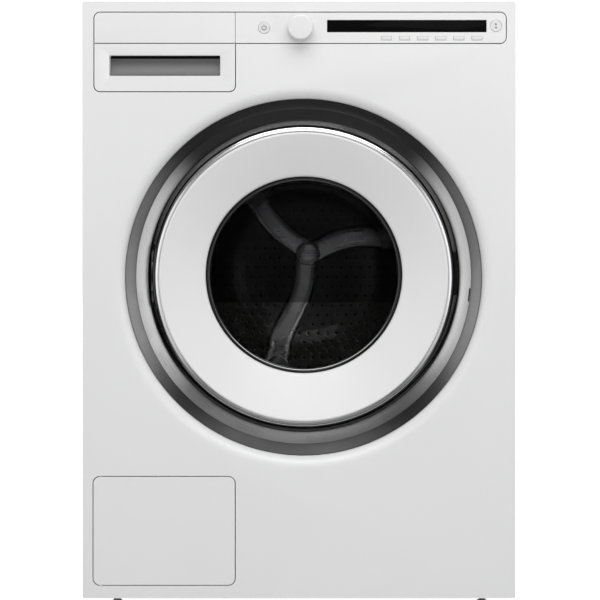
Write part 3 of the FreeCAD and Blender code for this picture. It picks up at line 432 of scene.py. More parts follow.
def wander_effect() -> None:
    """Slow drift of tone, patches of handling and a fine skin, all from noise."""
    graph, given, out = new_effect(
        "surface_wander", {"Broad": "NodeSocketFloat", "Fine": "NodeSocketFloat"},
        ("Tone", "Smudge", "Height"))
    spot = graph.add("ShaderNodeTexCoord").outputs["Object"]
    tone = graph.noise(spot, given.outputs["Broad"], 3.0)
    patch = graph.noise(spot, graph.sum("MULTIPLY", given.outputs["Broad"], 2.7), 6.0)
    fine = graph.noise(spot, given.outputs["Fine"], 2.0)
    graph.join(graph.span(tone, 0.0, 1.0, 0.3, 0.7), out.inputs["Tone"])
    graph.join(graph.span(patch, 0.0, 1.0, 0.35, 0.7), out.inputs["Smudge"])
    graph.join(fine, out.inputs["Height"])


def lines_effect() -> None:
    """Drawn metal: noise squeezed across the drawing direction."""
    graph, given, out = new_effect("drawn_lines", {"Squeeze": "NodeSocketVector"},
                                   ("Line", "Height"))
    spot = graph.add("ShaderNodeTexCoord").outputs["Object"]
    scaled = graph.add("ShaderNodeVectorMath", operation="MULTIPLY")
    graph.join(spot, scaled.inputs[0])
    graph.join(given.outputs["Squeeze"], scaled.inputs[1])
    line = graph.noise(scaled.outputs[0], 1.0, 3.0)
    graph.join(graph.span(line, 0.0, 1.0, 0.3, 0.7), out.inputs["Line"])
    graph.join(line, out.inputs["Height"])


def polar(graph: Graph, centre: object) -> tuple[bpy.types.NodeSocket, ...]:
    """X, depth, Z, radius and angle about an axis along Y."""
    spot = graph.add("ShaderNodeTexCoord").outputs["Object"]
    moved = graph.add("ShaderNodeVectorMath", operation="SUBTRACT")
    graph.join(spot, moved.inputs[0])
    graph.join(centre, moved.inputs[1])
    split = graph.add("ShaderNodeSeparateXYZ")
    graph.join(moved.outputs[0], split.inputs[0])
    x, y, z = split.outputs
    square = graph.sum("ADD", graph.sum("MULTIPLY", x, x), graph.sum("MULTIPLY", z, z))
    return x, y, z, graph.sum("SQRT", square), graph.sum("ARCTAN2", x, z)


def spun_effect() -> None:
    """Spun metal: rings of noise by radius and depth, and masks by direction round the axis that
    place painted light and shade.
    """
    graph, given, out = new_effect("spun_rings_and_painted_shade", {"Centre": "NodeSocketVector"},
                                   ("Ring", "Height", "Side", "Upper"))
    x, y, z, radius, _ = polar(graph, given.outputs["Centre"])
    path = graph.add("ShaderNodeCombineXYZ")
    graph.join(graph.sum("MULTIPLY", radius, 2600.0), path.inputs[0])
    graph.join(graph.sum("MULTIPLY", y, 2600.0), path.inputs[1])
    ring = graph.noise(path.outputs[0], 1.0, 2.0)
    graph.join(graph.span(ring, 0.0, 1.0, 0.3, 0.7), out.inputs["Ring"])
    graph.join(ring, out.inputs["Height"])
    safe = graph.sum("MAXIMUM", radius, 0.001)
    sideways = graph.sum("ABSOLUTE", graph.sum("DIVIDE", x, safe))
    graph.join(graph.span(sideways, 0.0, 1.0, 0.6, 1.0), out.inputs["Side"])
    upward = graph.sum("DIVIDE", z, safe)
    graph.join(graph.span(upward, 0.0, 1.0, -0.4, 0.4), out.inputs["Upper"])


def holes_effect() -> None:
    """Rows of round holes: staggered cells, dark inside the hole's radius."""
    graph, given, out = new_effect(
        "hole_rows", {"Across": "NodeSocketFloat", "Along": "NodeSocketFloat",
                      "Pitch": "NodeSocketFloat", "Radius": "NodeSocketFloat"},
        ("Hole", "Height"))
    row = graph.sum("DIVIDE", given.outputs["Along"], given.outputs["Pitch"])
    shift = graph.sum("MULTIPLY", graph.sum("FLOORED_MODULO", graph.sum("FLOOR", row), 2.0), 0.5)
    column = graph.sum("ADD", graph.sum("DIVIDE", given.outputs["Across"],
                                        given.outputs["Pitch"]), shift)
    away = []
    for cell in (row, column):
        inside = graph.sum("SUBTRACT", cell, graph.sum("FLOOR", cell))
        middle = graph.sum("SUBTRACT", inside, 0.5)
        away.append(graph.sum("MULTIPLY", middle, middle))
    distance = graph.sum("MULTIPLY", graph.sum("SQRT", graph.sum("ADD", *away)),
                         given.outputs["Pitch"])
    edge = graph.sum("DIVIDE", distance, given.outputs["Radius"])
    graph.join(graph.span(edge, 1.0, 0.0, 0.75, 1.0), out.inputs["Hole"])
    graph.join(graph.span(edge, 0.0, 1.0, 0.7, 1.9), out.inputs["Height"])


def effect_tree(name: str) -> bpy.types.NodeTree:
    """The shared effect of that name, made when it is first asked for."""
    makers = {"surface_wander": wander_effect, "drawn_lines": lines_effect,
              "spun_rings_and_painted_shade": spun_effect, "hole_rows": holes_effect}
    if name not in bpy.data.node_groups:
        makers[name]()
    return bpy.data.node_groups[name]


@dataclass(frozen=True)
class Finish:
    """One surface finish: its colour, gloss and grain, and how much each wanders.

    On spun metal, light and shade are painted by direction round the porthole's axis: a
    triple of levels gives the share of the colour that stays at the bottom, at the top and at
    the sides, and the rest goes to near black.
    """

    name: str
    slot: str
    colour: Triple
    roughness: float
    metallic: float = 0.0
    coat: float = 0.0
    specular: float = 0.5
    grain: Grain = Grain.PLAIN
    squeeze: Triple = (40.0, 40.0, 3000.0)
    broad: float = 6.0
    fine: float = 1800.0
    bump: float = 0.04
    drift: float = 0.03
    marks: float = 0.04
    # Painted light and shade on spun metal: the levels kept at the bottom, the top and the sides.
    painted_shade_levels: Triple = (1.0, 1.0, 1.0)
    glass: bool = False

    def material(self) -> bpy.types.Material:
        """The material of this finish, made when it is first asked for."""
        if f"{self.name}_finish" not in bpy.data.materials:
            self.make()
        return bpy.data.materials[f"{self.name}_finish"]

    def make(self) -> None:
        """Builds the node tree: colour, gloss and bump around one Principled shader."""
        material = bpy.data.materials.new(f"{self.name}_finish")
        material.use_nodes = True
        graph = Graph(material.node_tree)
        shader = material.node_tree.nodes["Principled BSDF"]
        wander = graph.effect("surface_wander", broad=self.broad, fine=self.fine)
        dark = tuple(channel * (1 - self.drift) for channel in self.colour)
        colour = graph.tint(wander.outputs["Tone"], (*dark, 1.0), (*self.colour, 1.0))
        rough = graph.span(wander.outputs["Smudge"], max(self.roughness - self.marks, 0.02),
                           self.roughness + self.marks)
        height = wander.outputs["Height"]
        centre = (PLACE.x, PLACE.front, PLACE.z)
        if self.grain is Grain.DRAWN:
            lines = graph.effect("drawn_lines", squeeze=self.squeeze)
            height = lines.outputs["Height"]
            rough = graph.sum("ADD", rough, graph.sum("MULTIPLY", lines.outputs["Line"], 0.06))
        if self.grain is Grain.SPUN:
            rings = graph.effect("spun_rings_and_painted_shade", centre=centre)
            height = rings.outputs["Height"]
            rough = graph.sum("ADD", rough, graph.sum("MULTIPLY", rings.outputs["Ring"], 0.05))
            # Painted light and shade: the colour goes towards near black by direction round the
            # axis, to the levels given for bottom, top and sides.
            bottom, top, sides = self.painted_shade_levels
            painted_shade_ends = graph.span(rings.outputs["Upper"], bottom, top)
            level = graph.span(rings.outputs["Side"], painted_shade_ends, sides)
            colour = graph.tint(level, (0.008, 0.008, 0.008, 1.0), colour)
        if self.grain in (Grain.HOLED_WALL, Grain.HOLED_DISC):
            x, y, z, _, angle = polar(graph, centre)
            across = graph.sum("MULTIPLY", angle, DRUM_ARC)
            if self.grain is Grain.HOLED_DISC:
                across, y = x, z
            holes = graph.effect("hole_rows", across=across, along=y, pitch=HOLE_PITCH,
                                 radius=HOLE_RADIUS)
            colour = graph.tint(holes.outputs["Hole"], colour, (0.01, 0.01, 0.01, 1.0))
            height = holes.outputs["Height"]
        if self.grain is Grain.THREAD:
            split = graph.add("ShaderNodeSeparateXYZ")
            graph.join(graph.add("ShaderNodeTexCoord").outputs["Object"], split.inputs[0])
            height = graph.sum("PINGPONG", split.outputs[2], 0.0008)
            height = graph.sum("MULTIPLY", height, 1200.0)
        bump = graph.add("ShaderNodeBump")
        bump.inputs["Strength"].default_value = self.bump
        bump.inputs["Distance"].default_value = 0.001
        graph.join(height, bump.inputs["Height"])
        graph.join(colour, shader.inputs["Base Color"])
        graph.join(rough, shader.inputs["Roughness"])
        graph.join(bump.outputs[0], shader.inputs["Normal"])
        plain = {"Metallic": self.metallic, "Coat Weight": self.coat, "Coat Roughness": 0.12,
                 "Specular IOR Level": self.specular}
        if self.glass:
            plain |= {"Transmission Weight": 1.0, "IOR": GLASS_IOR}
            # Painted reflection: below a line tilted with depth, the glass colour goes from its
            # grey tint to near white, a lighter band in the lower bowl.
            _, y, z, _, _ = polar(graph, centre)
            painted_reflection_height = graph.sum("ADD", z, graph.sum("MULTIPLY", y, PAINTED_REFLECTION_TILT))
            clear = graph.span(painted_reflection_height, 1.0, 0.0, PAINTED_REFLECTION_LINE - 0.002, PAINTED_REFLECTION_LINE)
            graph.join(graph.tint(clear, (*self.colour, 1.0), (0.95, 0.95, 0.95, 1.0)),
                       shader.inputs["Base Color"])
        for title, value in plain.items():
            shader.inputs[title].default_value = value


ENAMEL = Finish("enamel", "cabinet_white", (0.80, 0.80, 0.805), 0.34, coat=0.15,
                bump=0.015, fine=900.0, drift=0.012)
ZINC = Finish("zinc_sheet", "galvanised", (0.56, 0.57, 0.58), 0.42, metallic=0.85,
              broad=26.0, drift=0.22, marks=0.1, bump=0.03)
LAMINATE = Finish("laminate", "top_board", (0.80, 0.80, 0.79), 0.4, bump=0.06, fine=1200.0)
# The spun finishes below (ring, inner ring, bead, ring wall, chrome rim, chrome bevel) carry
# painted light and shade by direction round the porthole in their level triples.
RING = Finish("spun_ring", "ring_silver", (0.56, 0.56, 0.56), 0.30, metallic=1.0,
              grain=Grain.SPUN, painted_shade_levels=(0.06, 0.04, 0.36), bump=0.02, drift=0.02)
RING_INNER = Finish("spun_ring_inner", "ring_silver", (0.80, 0.80, 0.80), 0.30, metallic=1.0,
                    grain=Grain.SPUN, painted_shade_levels=(0.2, 0.035, 1.0), bump=0.02, drift=0.02)
BEAD = Finish("spun_bead", "rim_chrome", (0.85, 0.85, 0.85), 0.3, metallic=0.6,
              grain=Grain.SPUN, painted_shade_levels=(1.0, 0.10, 0.12), drift=0.02)
RING_WALL = Finish("spun_ring_wall", "ring_silver", (0.70, 0.70, 0.70), 0.45, metallic=0.6,
                   grain=Grain.SPUN, painted_shade_levels=(0.9, 0.15, 0.02), bump=0.02, drift=0.02)
CHROME = Finish("chrome", "rim_chrome", (0.85, 0.85, 0.86), 0.14, metallic=1.0,
                grain=Grain.SPUN, painted_shade_levels=(0.7, 1.0, 0.06), drift=0.01, marks=0.02,
                bump=0.005)
BEVEL = Finish("chrome_bevel", "rim_chrome", (0.80, 0.80, 0.81), 0.24, metallic=1.0,
               grain=Grain.SPUN, painted_shade_levels=(0.35, 0.6, 1.0), drift=0.01, marks=0.02,
               bump=0.005)
MOULDED = Finish("moulded_white", "white_plastic", (0.80, 0.80, 0.80), 0.32, coat=0.1,
                 bump=0.02, fine=1400.0, drift=0.01)
FACE = Finish("door_white", "white_plastic", (0.78, 0.78, 0.78), 0.36, bump=0.02,
              fine=1400.0, drift=0.01)
KEY = Finish("key_white", "white_plastic", (0.74, 0.74, 0.74), 0.4, bump=0.02)
MARK = Finish("mark_grey", "window_black", (0.05, 0.05, 0.05), 0.5, bump=0.0)
WINDOW = Finish("window_gloss", "window_black", (0.003, 0.003, 0.003), 0.08, bump=0.0,
                specular=0.06, drift=0.2, marks=0.02)
KNOB = Finish("knob_satin", "knob_satin", (0.78, 0.78, 0.785), 0.3, metallic=0.05,
              coat=0.2, bump=0.01)
GLASS = Finish("bowl_glass", "bowl_glass", (0.40, 0.40, 0.41), 0.03, glass=True, bump=0.002,
               drift=0.0, marks=0.01)
SEAL = Finish("window_seal", "black_rubber", (0.006, 0.006, 0.006), 0.22, bump=0.01)
STEEL = Finish("drawn_steel", "stainless", (0.60, 0.60, 0.60), 0.30, metallic=1.0,
               grain=Grain.DRAWN, bump=0.04, marks=0.06)
DRUM_WALL = Finish("drum_wall", "stainless", (0.55, 0.55, 0.55), 0.34, metallic=1.0,
                   grain=Grain.HOLED_WALL, bump=0.5)
DRUM_BACK = Finish("drum_back", "stainless", (0.07, 0.07, 0.07), 0.45, metallic=1.0,
                   grain=Grain.HOLED_DISC, bump=0.5)
PADDLE = Finish("paddle_plastic", "paddle_grey", (0.42, 0.42, 0.43), 0.4, bump=0.05)
BLACK_RUBBER = Finish("black_rubber", "black_rubber", (0.018, 0.018, 0.018), 0.55, bump=0.1)
GREY_RUBBER = Finish("grey_rubber", "grey_rubber", (0.20, 0.20, 0.205), 0.5, bump=0.08)
INNER = Finish("inner_plastic", "inner_plastic", (0.72, 0.72, 0.71), 0.42, bump=0.05)
DARK = Finish("dark_plastic", "dark_plastic", (0.03, 0.03, 0.03), 0.5, bump=0.08)
SLATE = Finish("slate_plastic", "dark_plastic", (0.16, 0.16, 0.16), 0.45, bump=0.03)
# Glossless black for painted shade: the latch slot's opening and the grip's undercut.
PAINTED_SHADE_BLACK = Finish("painted_shade_black", "dark_plastic", (0.002, 0.002, 0.002), 0.9, bump=0.0,
                    specular=0.1)
IRON = Finish("cast_iron", "cast_iron", (0.07, 0.07, 0.07), 0.7, bump=0.5, fine=500.0,
              drift=0.3, marks=0.1)
CAST = Finish("cast_aluminium", "cast_aluminium", (0.50, 0.50, 0.50), 0.5, metallic=0.9,
              bump=0.3, fine=700.0, marks=0.1)
STRUT = Finish("strut_paint", "strut_steel", (0.04, 0.04, 0.04), 0.35, coat=0.3)
PLATED = Finish("plated_steel", "plated_steel", (0.62, 0.62, 0.60), 0.28, metallic=1.0,
                broad=30.0, drift=0.1, marks=0.08)
STUD = Finish("stud_thread", "plated_steel", (0.62, 0.62, 0.60), 0.3, metallic=1.0,
              grain=Grain.THREAD, bump=0.8)


# ------------------------------------------------------------------ assemblies

class Assembly:
    """A group of pieces that go together."""

    def fit(self, name: str, made: bpy.types.Mesh | bpy.types.Object, body: str,
            finish: Finish, *nodes: str) -> bpy.types.Object:
        """Puts a piece in the scene, gives it its finish and says what it stands for.

        Args:
            name: The piece's name.
            made: Its mesh or its object.
            body: The body that it moves with.
            finish: Its finish.
            nodes: The CAD nodes that it stands for.

        Returns:
            The piece.
        """
        if isinstance(made, bpy.types.Mesh):
            made = bpy.data.objects.new(name, made)
        made.name = name
        made.data.materials.clear()
        made.data.materials.append(finish.material())
        bpy.context.scene.collection.objects.link(made)
        if body:
            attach(made, body)
        if nodes:
            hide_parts(*nodes)
        LOG.info("%s in %s", name, finish.name)
        return made

    def shape(self, name: str, parts: list[Shape], body: str, finish: Finish, *nodes: str,
              sharp: float = 40.0) -> bpy.types.Object:
        """Fits a piece made of lofts, whose mesh has the piece's name."""
        return self.fit(name, skin(name, parts, sharp), body, finish, *nodes)

    def spin(self, name: str, corners: list[Pair], rounds: list[float] | float | None,
             body: str, finish: Finish, *nodes: str, steps: int = 6, sharp: float = 40.0,
             **turning: object) -> None:
        """Fits a piece turned from a line, about the porthole's axis unless told otherwise.

        Args:
            name, body, finish, nodes: As for fit.
            corners: The line's corners, in millimetres.
            rounds: How far from each corner its arc starts, or None to leave them sharp.
            steps: Points on each arc.
            sharp: Edges that turn by more than this many degrees stay sharp.
            turning: Other values for turned.
        """
        line = np.array(corners) if rounds is None else softened_corners(corners, rounds, steps)
        about = {"centre": (PLACE.x, PLACE.z), "origin": PLACE.front} | turning
        self.shape(name, [turned(line, **about)], body, finish, *nodes, sharp=sharp)

    def dress(self, finish: Finish, *nodes: str) -> None:
        """Gives CAD nodes that keep their shape a finish."""
        for node in nodes:
            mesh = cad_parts[node].data
            mesh.materials.clear()
            mesh.materials.append(finish.material())
            LOG.info("%s in %s", node, finish.name)

    def soften(self, node: str, width: float, body: str, finish: Finish,
               turn: float = 36.0) -> bpy.types.Object:
        """Replaces a CAD node by a copy with broken edges."""
        return self.fit(f"{node}_finished", softened(node, width * MM, turn), body, finish, node)


@dataclass
class Cabinet(Assembly):
    """Panels, top board, base, feet and the back, with sizes in millimetres."""

    sheet_edge: float = 0.7
    board_edge: float = 1.6
    screw_head: float = 4.6
    screw_slot: float = 0.9
    foot_pad: float = 20.0
    foot_stud: float = 5.0

    def build(self) -> None:
        """Makes every piece of the cabinet."""
        self.soften("front_panel", self.sheet_edge, "root", ENAMEL, 50.0)
        for side in ("left", "right"):
            self.soften(f"{side}_side_panel", 0.5, "root", ENAMEL)
        self.soften("top_panel", self.board_edge, "root", LAMINATE)
        self.soften("rear_panel", 0.4, "root", ZINC)
        self.soften("rear_service_cover", 0.4, "root", ZINC)
        self.dress(ZINC, "base_tray")
        self.screws()
        for end in ("front", "rear"):
            for side in ("left", "right"):
                self.foot(end, side)

    def screws(self) -> None:
        """Cover screws, each a dome with a cross.

        The head's height over radius r and angle t is a shallow dome less a groove wherever
        the point is within half a slot of either cross line.
        """
        parts = []
        low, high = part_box("cover_screws")
        points = points_of("cover_screws")
        head = points[points[:, 1] > high.y - 0.2 * MM]
        spots = np.unique(np.round(head[:, [0, 2]] / (12 * MM)), axis=0) * 12 * MM
        near = [head[np.linalg.norm(head[:, [0, 2]] - spot, axis=1) < 14 * MM] for spot in spots]
        centres = {tuple(np.round((group.min(0) + group.max(0))[[0, 2]] / 2, 4))
                   for group in near if len(group)}
        for x, z in sorted(centres):
            parts += self.screw(x, z, low.y, high.y)
        self.shape("cover_screw_heads", parts, "root", PLATED, "cover_screws", sharp=30)

    def screw(self, x: float, z: float, near: float, far: float
              ) -> list[Shape]:
        """One screw: its shank from near, and its crossed head whose top is at far."""
        radius = np.linspace(0, 1, 12)[:, None] * self.screw_head * MM
        angle = np.linspace(0, 2 * math.pi, 48, endpoint=False)[None, :]
        across, up = radius * np.cos(angle), radius * np.sin(angle)
        dome = 1.1 * MM * (1 - (radius / (self.screw_head * MM)) ** 2)
        slot = np.minimum(np.abs(across), np.abs(up)) < self.screw_slot * MM / 2
        inside = radius < 0.62 * self.screw_head * MM
        height = dome - np.where(slot & inside, 0.8 * MM, 0.0)
        top = np.stack([x + across, far - 1.1 * MM + height, z + up], -1)
        wall = np.stack([x + across[-1], np.full(48, far - 2.0 * MM), z + up[-1]], -1)
        shank = np.full((2, 1), 0.4)
        stem = np.stack([x + across[-1] * shank,
                         np.broadcast_to([[far - 2.0 * MM], [near]], (2, 48)),
                         z + up[-1] * shank], -1)
        return [loft(np.concatenate([top, wall[None], stem]), False)]

    def foot(self, end: str, side: str) -> None:
        """A screw foot: a rubber pad, a six-sided neck and a threaded stud."""
        node = f"foot_{end}_{side}"
        low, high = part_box(node)
        centre = ((low.x + high.x) / 2, (low.y + high.y) / 2)
        top = (high.z - low.z) / MM
        body = f"{end}_{side}_foot"
        stand = {"centre": centre, "origin": low.z, "axis": Axis.UP}
        self.spin(f"{node}_pad", [(0, 0), (self.foot_pad, 0), (self.foot_pad, 5.5),
                                  (self.foot_pad - 6, 9), (0, 9)],
                  [0, 1.2, 1.5, 1.5, 0], body, DARK, node, segments=64, **stand)
        self.spin(f"{node}_neck", [(0, 8.8), (8.5, 8.8), (9.2, 9.6), (9.2, 13.4), (8.5, 14),
                                   (0, 14)], None, body, PLATED, sharp=20, segments=6, **stand)
        self.spin(f"{node}_stud", [(0, 13.8), (self.foot_stud, 13.8),
                                   (self.foot_stud, top - 0.8), (self.foot_stud - 0.8, top),
                                   (0, top)], None, body, STUD, segments=40, **stand)


@dataclass
class Surround(Assembly):
    """The two-sloped ring round the door, with a black patch of painted shade for the latch slot,
    in millimetres.
    """

    outer: float = 246.0
    crease: float = 232.5
    inner: float = 216.5
    near: float = 13.0
    crease_depth: float = 24.0
    far: float = 31.0
    wall_depth: float = 50.0

    def build(self) -> None:
        """Makes both rings and the slot's patch of painted shade."""
        self.spin("surround_outer_slope", [
            (self.outer, self.near), (self.crease + 0.15, self.crease_depth),
            (self.crease + 0.15, self.crease_depth + 3.3), (self.outer, self.near + 6)],
            [0.8, 0.2, 0.2, 0.8], "root", RING, "porthole_surround", sharp=50)
        self.spin("surround_inner_slope", [
            (self.crease, self.crease_depth), (self.inner, self.far),
            (self.inner, self.far + 3.5), (self.crease, self.crease_depth + 3.4)],
            [0.2, 1.0, 0.6, 0.2], "root", RING_INNER, sharp=50)
        self.spin("surround_return", [
            (self.inner + 0.1, self.far + 0.9), (self.inner + 1.6, self.far + 2.0),
            (self.inner + 1.6, self.wall_depth), (self.inner, self.wall_depth)],
            None, "root", RING_WALL, sharp=50)
        # Painted shade: a matte black patch, nearly without gloss, stands for the dark opening of
        # the latch slot, which the turned ring does not cut.
        up = np.linspace(-35.0, -16.5, 12)
        face = np.sqrt(231.9 ** 2 - up ** 2)
        width = np.linspace(0.9, 3.2, 12)
        depth = self.crease_depth - 0.1
        x = np.stack([face, face - width, face - width, face], -1)
        y = np.stack([0 * up + depth, depth + width * 0.9, depth + width * 0.9 + 1.2,
                      0 * up + depth + 1.2], -1)
        z = np.broadcast_to(up[:, None], x.shape)
        points = np.stack([PLACE.x + x * MM, PLACE.front + y * MM - 0.3 * MM,
                           PLACE.z + z * MM], -1)
        self.shape("latch_slot_painted_shade", [loft(points, False)], "root", PAINTED_SHADE_BLACK)


@dataclass
class Door(Assembly):
    """Cone face, bright rim, window seal, glass bowl, liner and gasket, in millimetres."""

    outer: float = 200.8
    window: float = 138.0
    near: float = 16.5
    far: float = 45.5
    hinge_clear: Triple = (42.0, 196.0, 21.0)

    def build(self) -> None:
        """Makes every piece of the door."""
        front = {"steps": 8, "sharp": 50, "segments": 288, "notch": self.hinge_clear}
        self.spin("door_face", [
            (self.outer, self.near + 7.5), (self.outer, self.near + 1.4),
            (self.outer - 2.2, self.near), (self.window + 2.5, self.far),
            (self.window, self.far + 2.5), (self.window, self.far + 6),
            (self.window + 3, self.far + 6), (self.window + 3, self.far + 3.3),
            (self.outer - 2, self.near + 3.5), (self.outer - 2, self.near + 7.5)],
            [0.3, 1.0, 2.4, 3.0, 1.6, 0.3, 0.3, 0.6, 0.6, 0.3], "door", FACE, "door_frame",
            **front)
        self.spin("door_rim_bevel", [
            (201.0, 18.0), (201.8, 17.3), (205.9, 18.7), (205.9, 24.5), (201.0, 24.5)],
            [0.3, 0.8, 1.6, 0.3, 0.3], "door", BEVEL, "door_rim", **front)
        self.spin("door_rim_ring", [
            (206.0, 18.8), (207.4, 19.6), (210.5, 30.0), (210.5, 52), (208.5, 52),
            (208.5, 36.5), (206.0, 24.5)], [0.2, 1.4, 4.0, 0.5, 0.5, 0.5, 0.3],
            "door", CHROME, **front)
        self.window_parts()
        self.soften("door_inner_ring", 0.3, "door", STEEL)
        self.spin("door_gasket_lip", [
            (146, 56.1), (158, 56.1), (156, 59), (158, 61.5), (155.5, 65.6), (150, 65.6),
            (148, 61), (146, 60)], 1.0, "door", GREY_RUBBER, "door_gasket")
        self.soften("latch_hook", 0.5, "door", PLATED)
        for node in ("hinge_bracket", "door_lock"):
            self.soften(node, 0.5, "tub", STRUT if node == "hinge_bracket" else DARK)
        self.dress(STRUT, "hinge_pin")

    def window_parts(self) -> None:
        """The glass bowl, the bead at its edge and the seal that holds its flange."""
        self.spin("glass_bowl", [
            (131.5, 52.1), (142.5, 52.1), (142.5, 55.9), (137, 55.9), (119, 122), (84, 144),
            (0, 147), (0, 143), (83, 140.2), (115.4, 120.5)],
            [2.5, 0.5, 0.5, 1.5, 24, 30, 0, 0, 30, 24], "door", GLASS, "door_glass",
            steps=14, sharp=60, segments=256)
        self.spin("glass_bead", [(133.1, 50.2), (133.5, 49.5), (134.1, 49.5), (134.4, 50.2)],
                  0.2, "door", BEAD, segments=256)
        self.spin("window_seal_ring", [
            (137.8, 48.2), (137.8, 51.9), (132.2, 51.9), (132.2, 50.6), (133.2, 50.2),
            (134.2, 51.0), (135.0, 49.4), (136.0, 49.0), (136.6, 50.0)],
            [0.3, 0.2, 0.3, 0.4, 0.6, 0.5, 0.5, 0.5, 0.4], "door", SEAL, segments=256)


@dataclass
class Drum(Assembly):
    """Holed drum, its paddles, the star on its back and the hub cap, in millimetres."""

    radius: float = 240.0
    mouth: float = 155.0
    near: float = 100.0
    far: float = 440.0
    wall: float = 1.5
    star_turns: tuple[float, ...] = (15.0, 135.0, 255.0)
    paddle_height: float = 56.0
    paddle_half: float = 36.0

    def build(self) -> None:
        """Makes the shell and what turns with it."""
        inside, back = self.radius - self.wall, self.far - self.wall
        self.spin("drum_can", [
            (self.mouth, 94), (self.mouth + 4, 94), (self.mouth + 6, self.near),
            (self.radius, self.near), (self.radius, self.far), (inside - 6, self.far),
            (inside - 6, back), (inside, back), (inside, self.near + self.wall),
            (self.mouth, self.near + self.wall)],
            [1.8, 1.8, 3, 10, 3, 0.2, 0.2, 6, 9, 3], "drum", DRUM_WALL, "drum_shell",
            steps=8, sharp=50)
        self.spin("drum_back", [(0, back - 0.05), (inside - 5, back - 0.05),
                                (inside - 5, self.far), (0, self.far)],
                  None, "drum", DRUM_BACK)
        for index, turn in enumerate(self.star_turns):
            nodes = ("drum_paddles",) if index == 0 else ()
            self.shape(f"paddle_{index + 1}", [self.paddle(turn)], "drum", PADDLE, *nodes,
                       sharp=60)
            self.shape(f"star_arm_{index + 1}", [self.star_arm(turn)], "drum", STEEL, sharp=60)
        self.spin("hub_cap", [(0, back), (20, back), (20, back - 12), (0, back - 15)],
                  [0, 0.5, 5, 0], "drum", STEEL, segments=96)
        self.dress(PLATED, "drum_shaft")
        self.dress(CAST, "drum_pulley")

    def lying(self, out: Array, side: Array, depth: Array, turn: float) -> Shape:
        """A loft of distances outwards and sideways of the axis, at a turn about it."""
        side = np.concatenate([side, side[:, ::-1]], 1)
        angle = math.radians(turn)
        x = out * math.cos(angle) - side * math.sin(angle)
        z = out * math.sin(angle) + side * math.cos(angle)
        points = np.stack([PLACE.x + x * MM, PLACE.front + depth * MM, PLACE.z + z * MM], -1)
        return loft(points, False)

    def paddle(self, turn: float) -> Shape:
        """A lifter along the wall.

        Across it, s runs from -1 to 1 and the height is h (1 - |s|^1.7)^0.75; along it, h
        rises smoothly over the front 60 mm and leans with a slow sine.
        """
        along = np.linspace(0, 1, 40)[:, None]
        s = np.linspace(-1, 1, 33)[None, :]
        depth = self.near + 30 + along * (self.far - self.wall - self.near - 30.5)
        rise = np.clip(along / 0.22, 0.0, 1.0)
        rise = 0.08 + 0.92 * np.sqrt(1 - (1 - rise) ** 2)
        height = self.paddle_height * rise * (1 - np.abs(s) ** 1.7) ** 0.75
        half = self.paddle_half * (0.8 + 0.2 * rise)
        side = half * s + 5 * np.sin(2 * math.pi * along) * (1 - s ** 2)
        base = np.sqrt((self.radius - self.wall) ** 2 - side ** 2) - 0.3
        out = np.concatenate([base - height, base[:, ::-1]], 1)
        return self.lying(out, side, np.broadcast_to(depth, out.shape), turn)

    def star_arm(self, turn: float) -> Shape:
        """A pressed arm on the drum's back.

        From the hub to the wall the arm sways by a slow sine and widens a little; its height
        across s is h (1 - s^4)^0.6.
        """
        along = np.linspace(0, 1, 48)[:, None]
        s = np.linspace(-1, 1, 21)[None, :]
        reach = 14 + along * 190
        sway = 7.0 * np.sin(2 * math.pi * along)
        half = 18 + 7 * along ** 2
        swell = 10.5 * (1 - s ** 4) ** 0.6 * (0.35 + 0.65 * np.sin(
            math.pi * np.clip(0.12 + along * 0.8, 0, 1)) ** 0.5)
        side = sway + half * s
        back = self.far - self.wall
        depth = np.concatenate([back - 0.1 - swell, np.full_like(side, back)], 1)
        return self.lying(np.broadcast_to(reach, depth.shape), side, depth, turn)


@dataclass
class Tub(Assembly):
    """Tub, weights, motor, struts, springs and hoses."""

    spring_radius: float = 21.0
    spring_wire: float = 2.5
    spring_turns: float = 8.0

    def build(self) -> None:
        """Dresses the tub's nodes and makes the springs and bellows."""
        self.dress(STEEL, "tub_shell", "tub_front")
        self.dress(CAST, "bearing_housing", "motor_body")
        self.dress(PLATED, "tub_bearings", "strut_rods", "heater", "motor_pulley")
        self.soften("counterweights", 2.0, "tub", IRON)
        self.dress(BLACK_RUBBER, "drive_belt")
        self.dress(STRUT, "strut_cylinders")
        self.dress(GREY_RUBBER, "drain_hose")
        self.springs()
        for node, bulges in (("sump_hose", 7), ("dispenser_hose", 9)):
            self.bellows(node, bulges)

    def springs(self) -> None:
        """Four coil springs, each stretched between the base and the tub."""
        points = points_of("strut_springs")
        low, high = points.min(0), points.max(0)
        middle = (low + high) / 2
        number = 0
        for right in (False, True):
            for rear in (False, True):
                mine = points[((points[:, 0] > middle[0]) == right)
                              & ((points[:, 1] > middle[1]) == rear)]
                centre = (mine.min(0) + mine.max(0))[:2] / 2
                bottom, top = mine[:, 2].min(), mine[:, 2].max()
                number += 1
                piece = self.fit(f"strut_spring_{number}", skin("strut_spring", [
                    coil(tuple(centre), bottom, top, self.spring_radius * MM,
                         self.spring_wire * MM, self.spring_turns)], 60), "", PLATED,
                    *(("strut_springs",) if number == 1 else ()))
                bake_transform(piece)

    def bellows(self, node: str, bulges: int) -> None:
        """A short moulded hose with rounded bulges between two plain cuffs.

        The wall's radius is its mean plus a sine of the height, faded out at the cuffs.
        """
        low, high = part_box(node)
        centre = ((low.x + high.x) / 2, (low.y + high.y) / 2)
        outer = (high.x - low.x) / 2 / MM
        height = (high.z - low.z) / MM
        t = np.linspace(0, 1, 16 * bulges)
        fade = np.clip(np.minimum(t, 1 - t) / 0.14 - 0.6, 0, 1)
        wave = 1.5 * np.cos(2 * math.pi * bulges * t) * fade
        out = np.stack([outer - 1.5 + wave, t * height], -1)
        back = np.stack([outer - 3.1 + wave, t * height], -1)[::-1]
        wall = turned(np.concatenate([out, back]), centre, low.z, Axis.UP, 72)
        piece = self.shape(f"{node}_bellows", [wall], "", BLACK_RUBBER, node, sharp=60)
        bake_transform(piece)


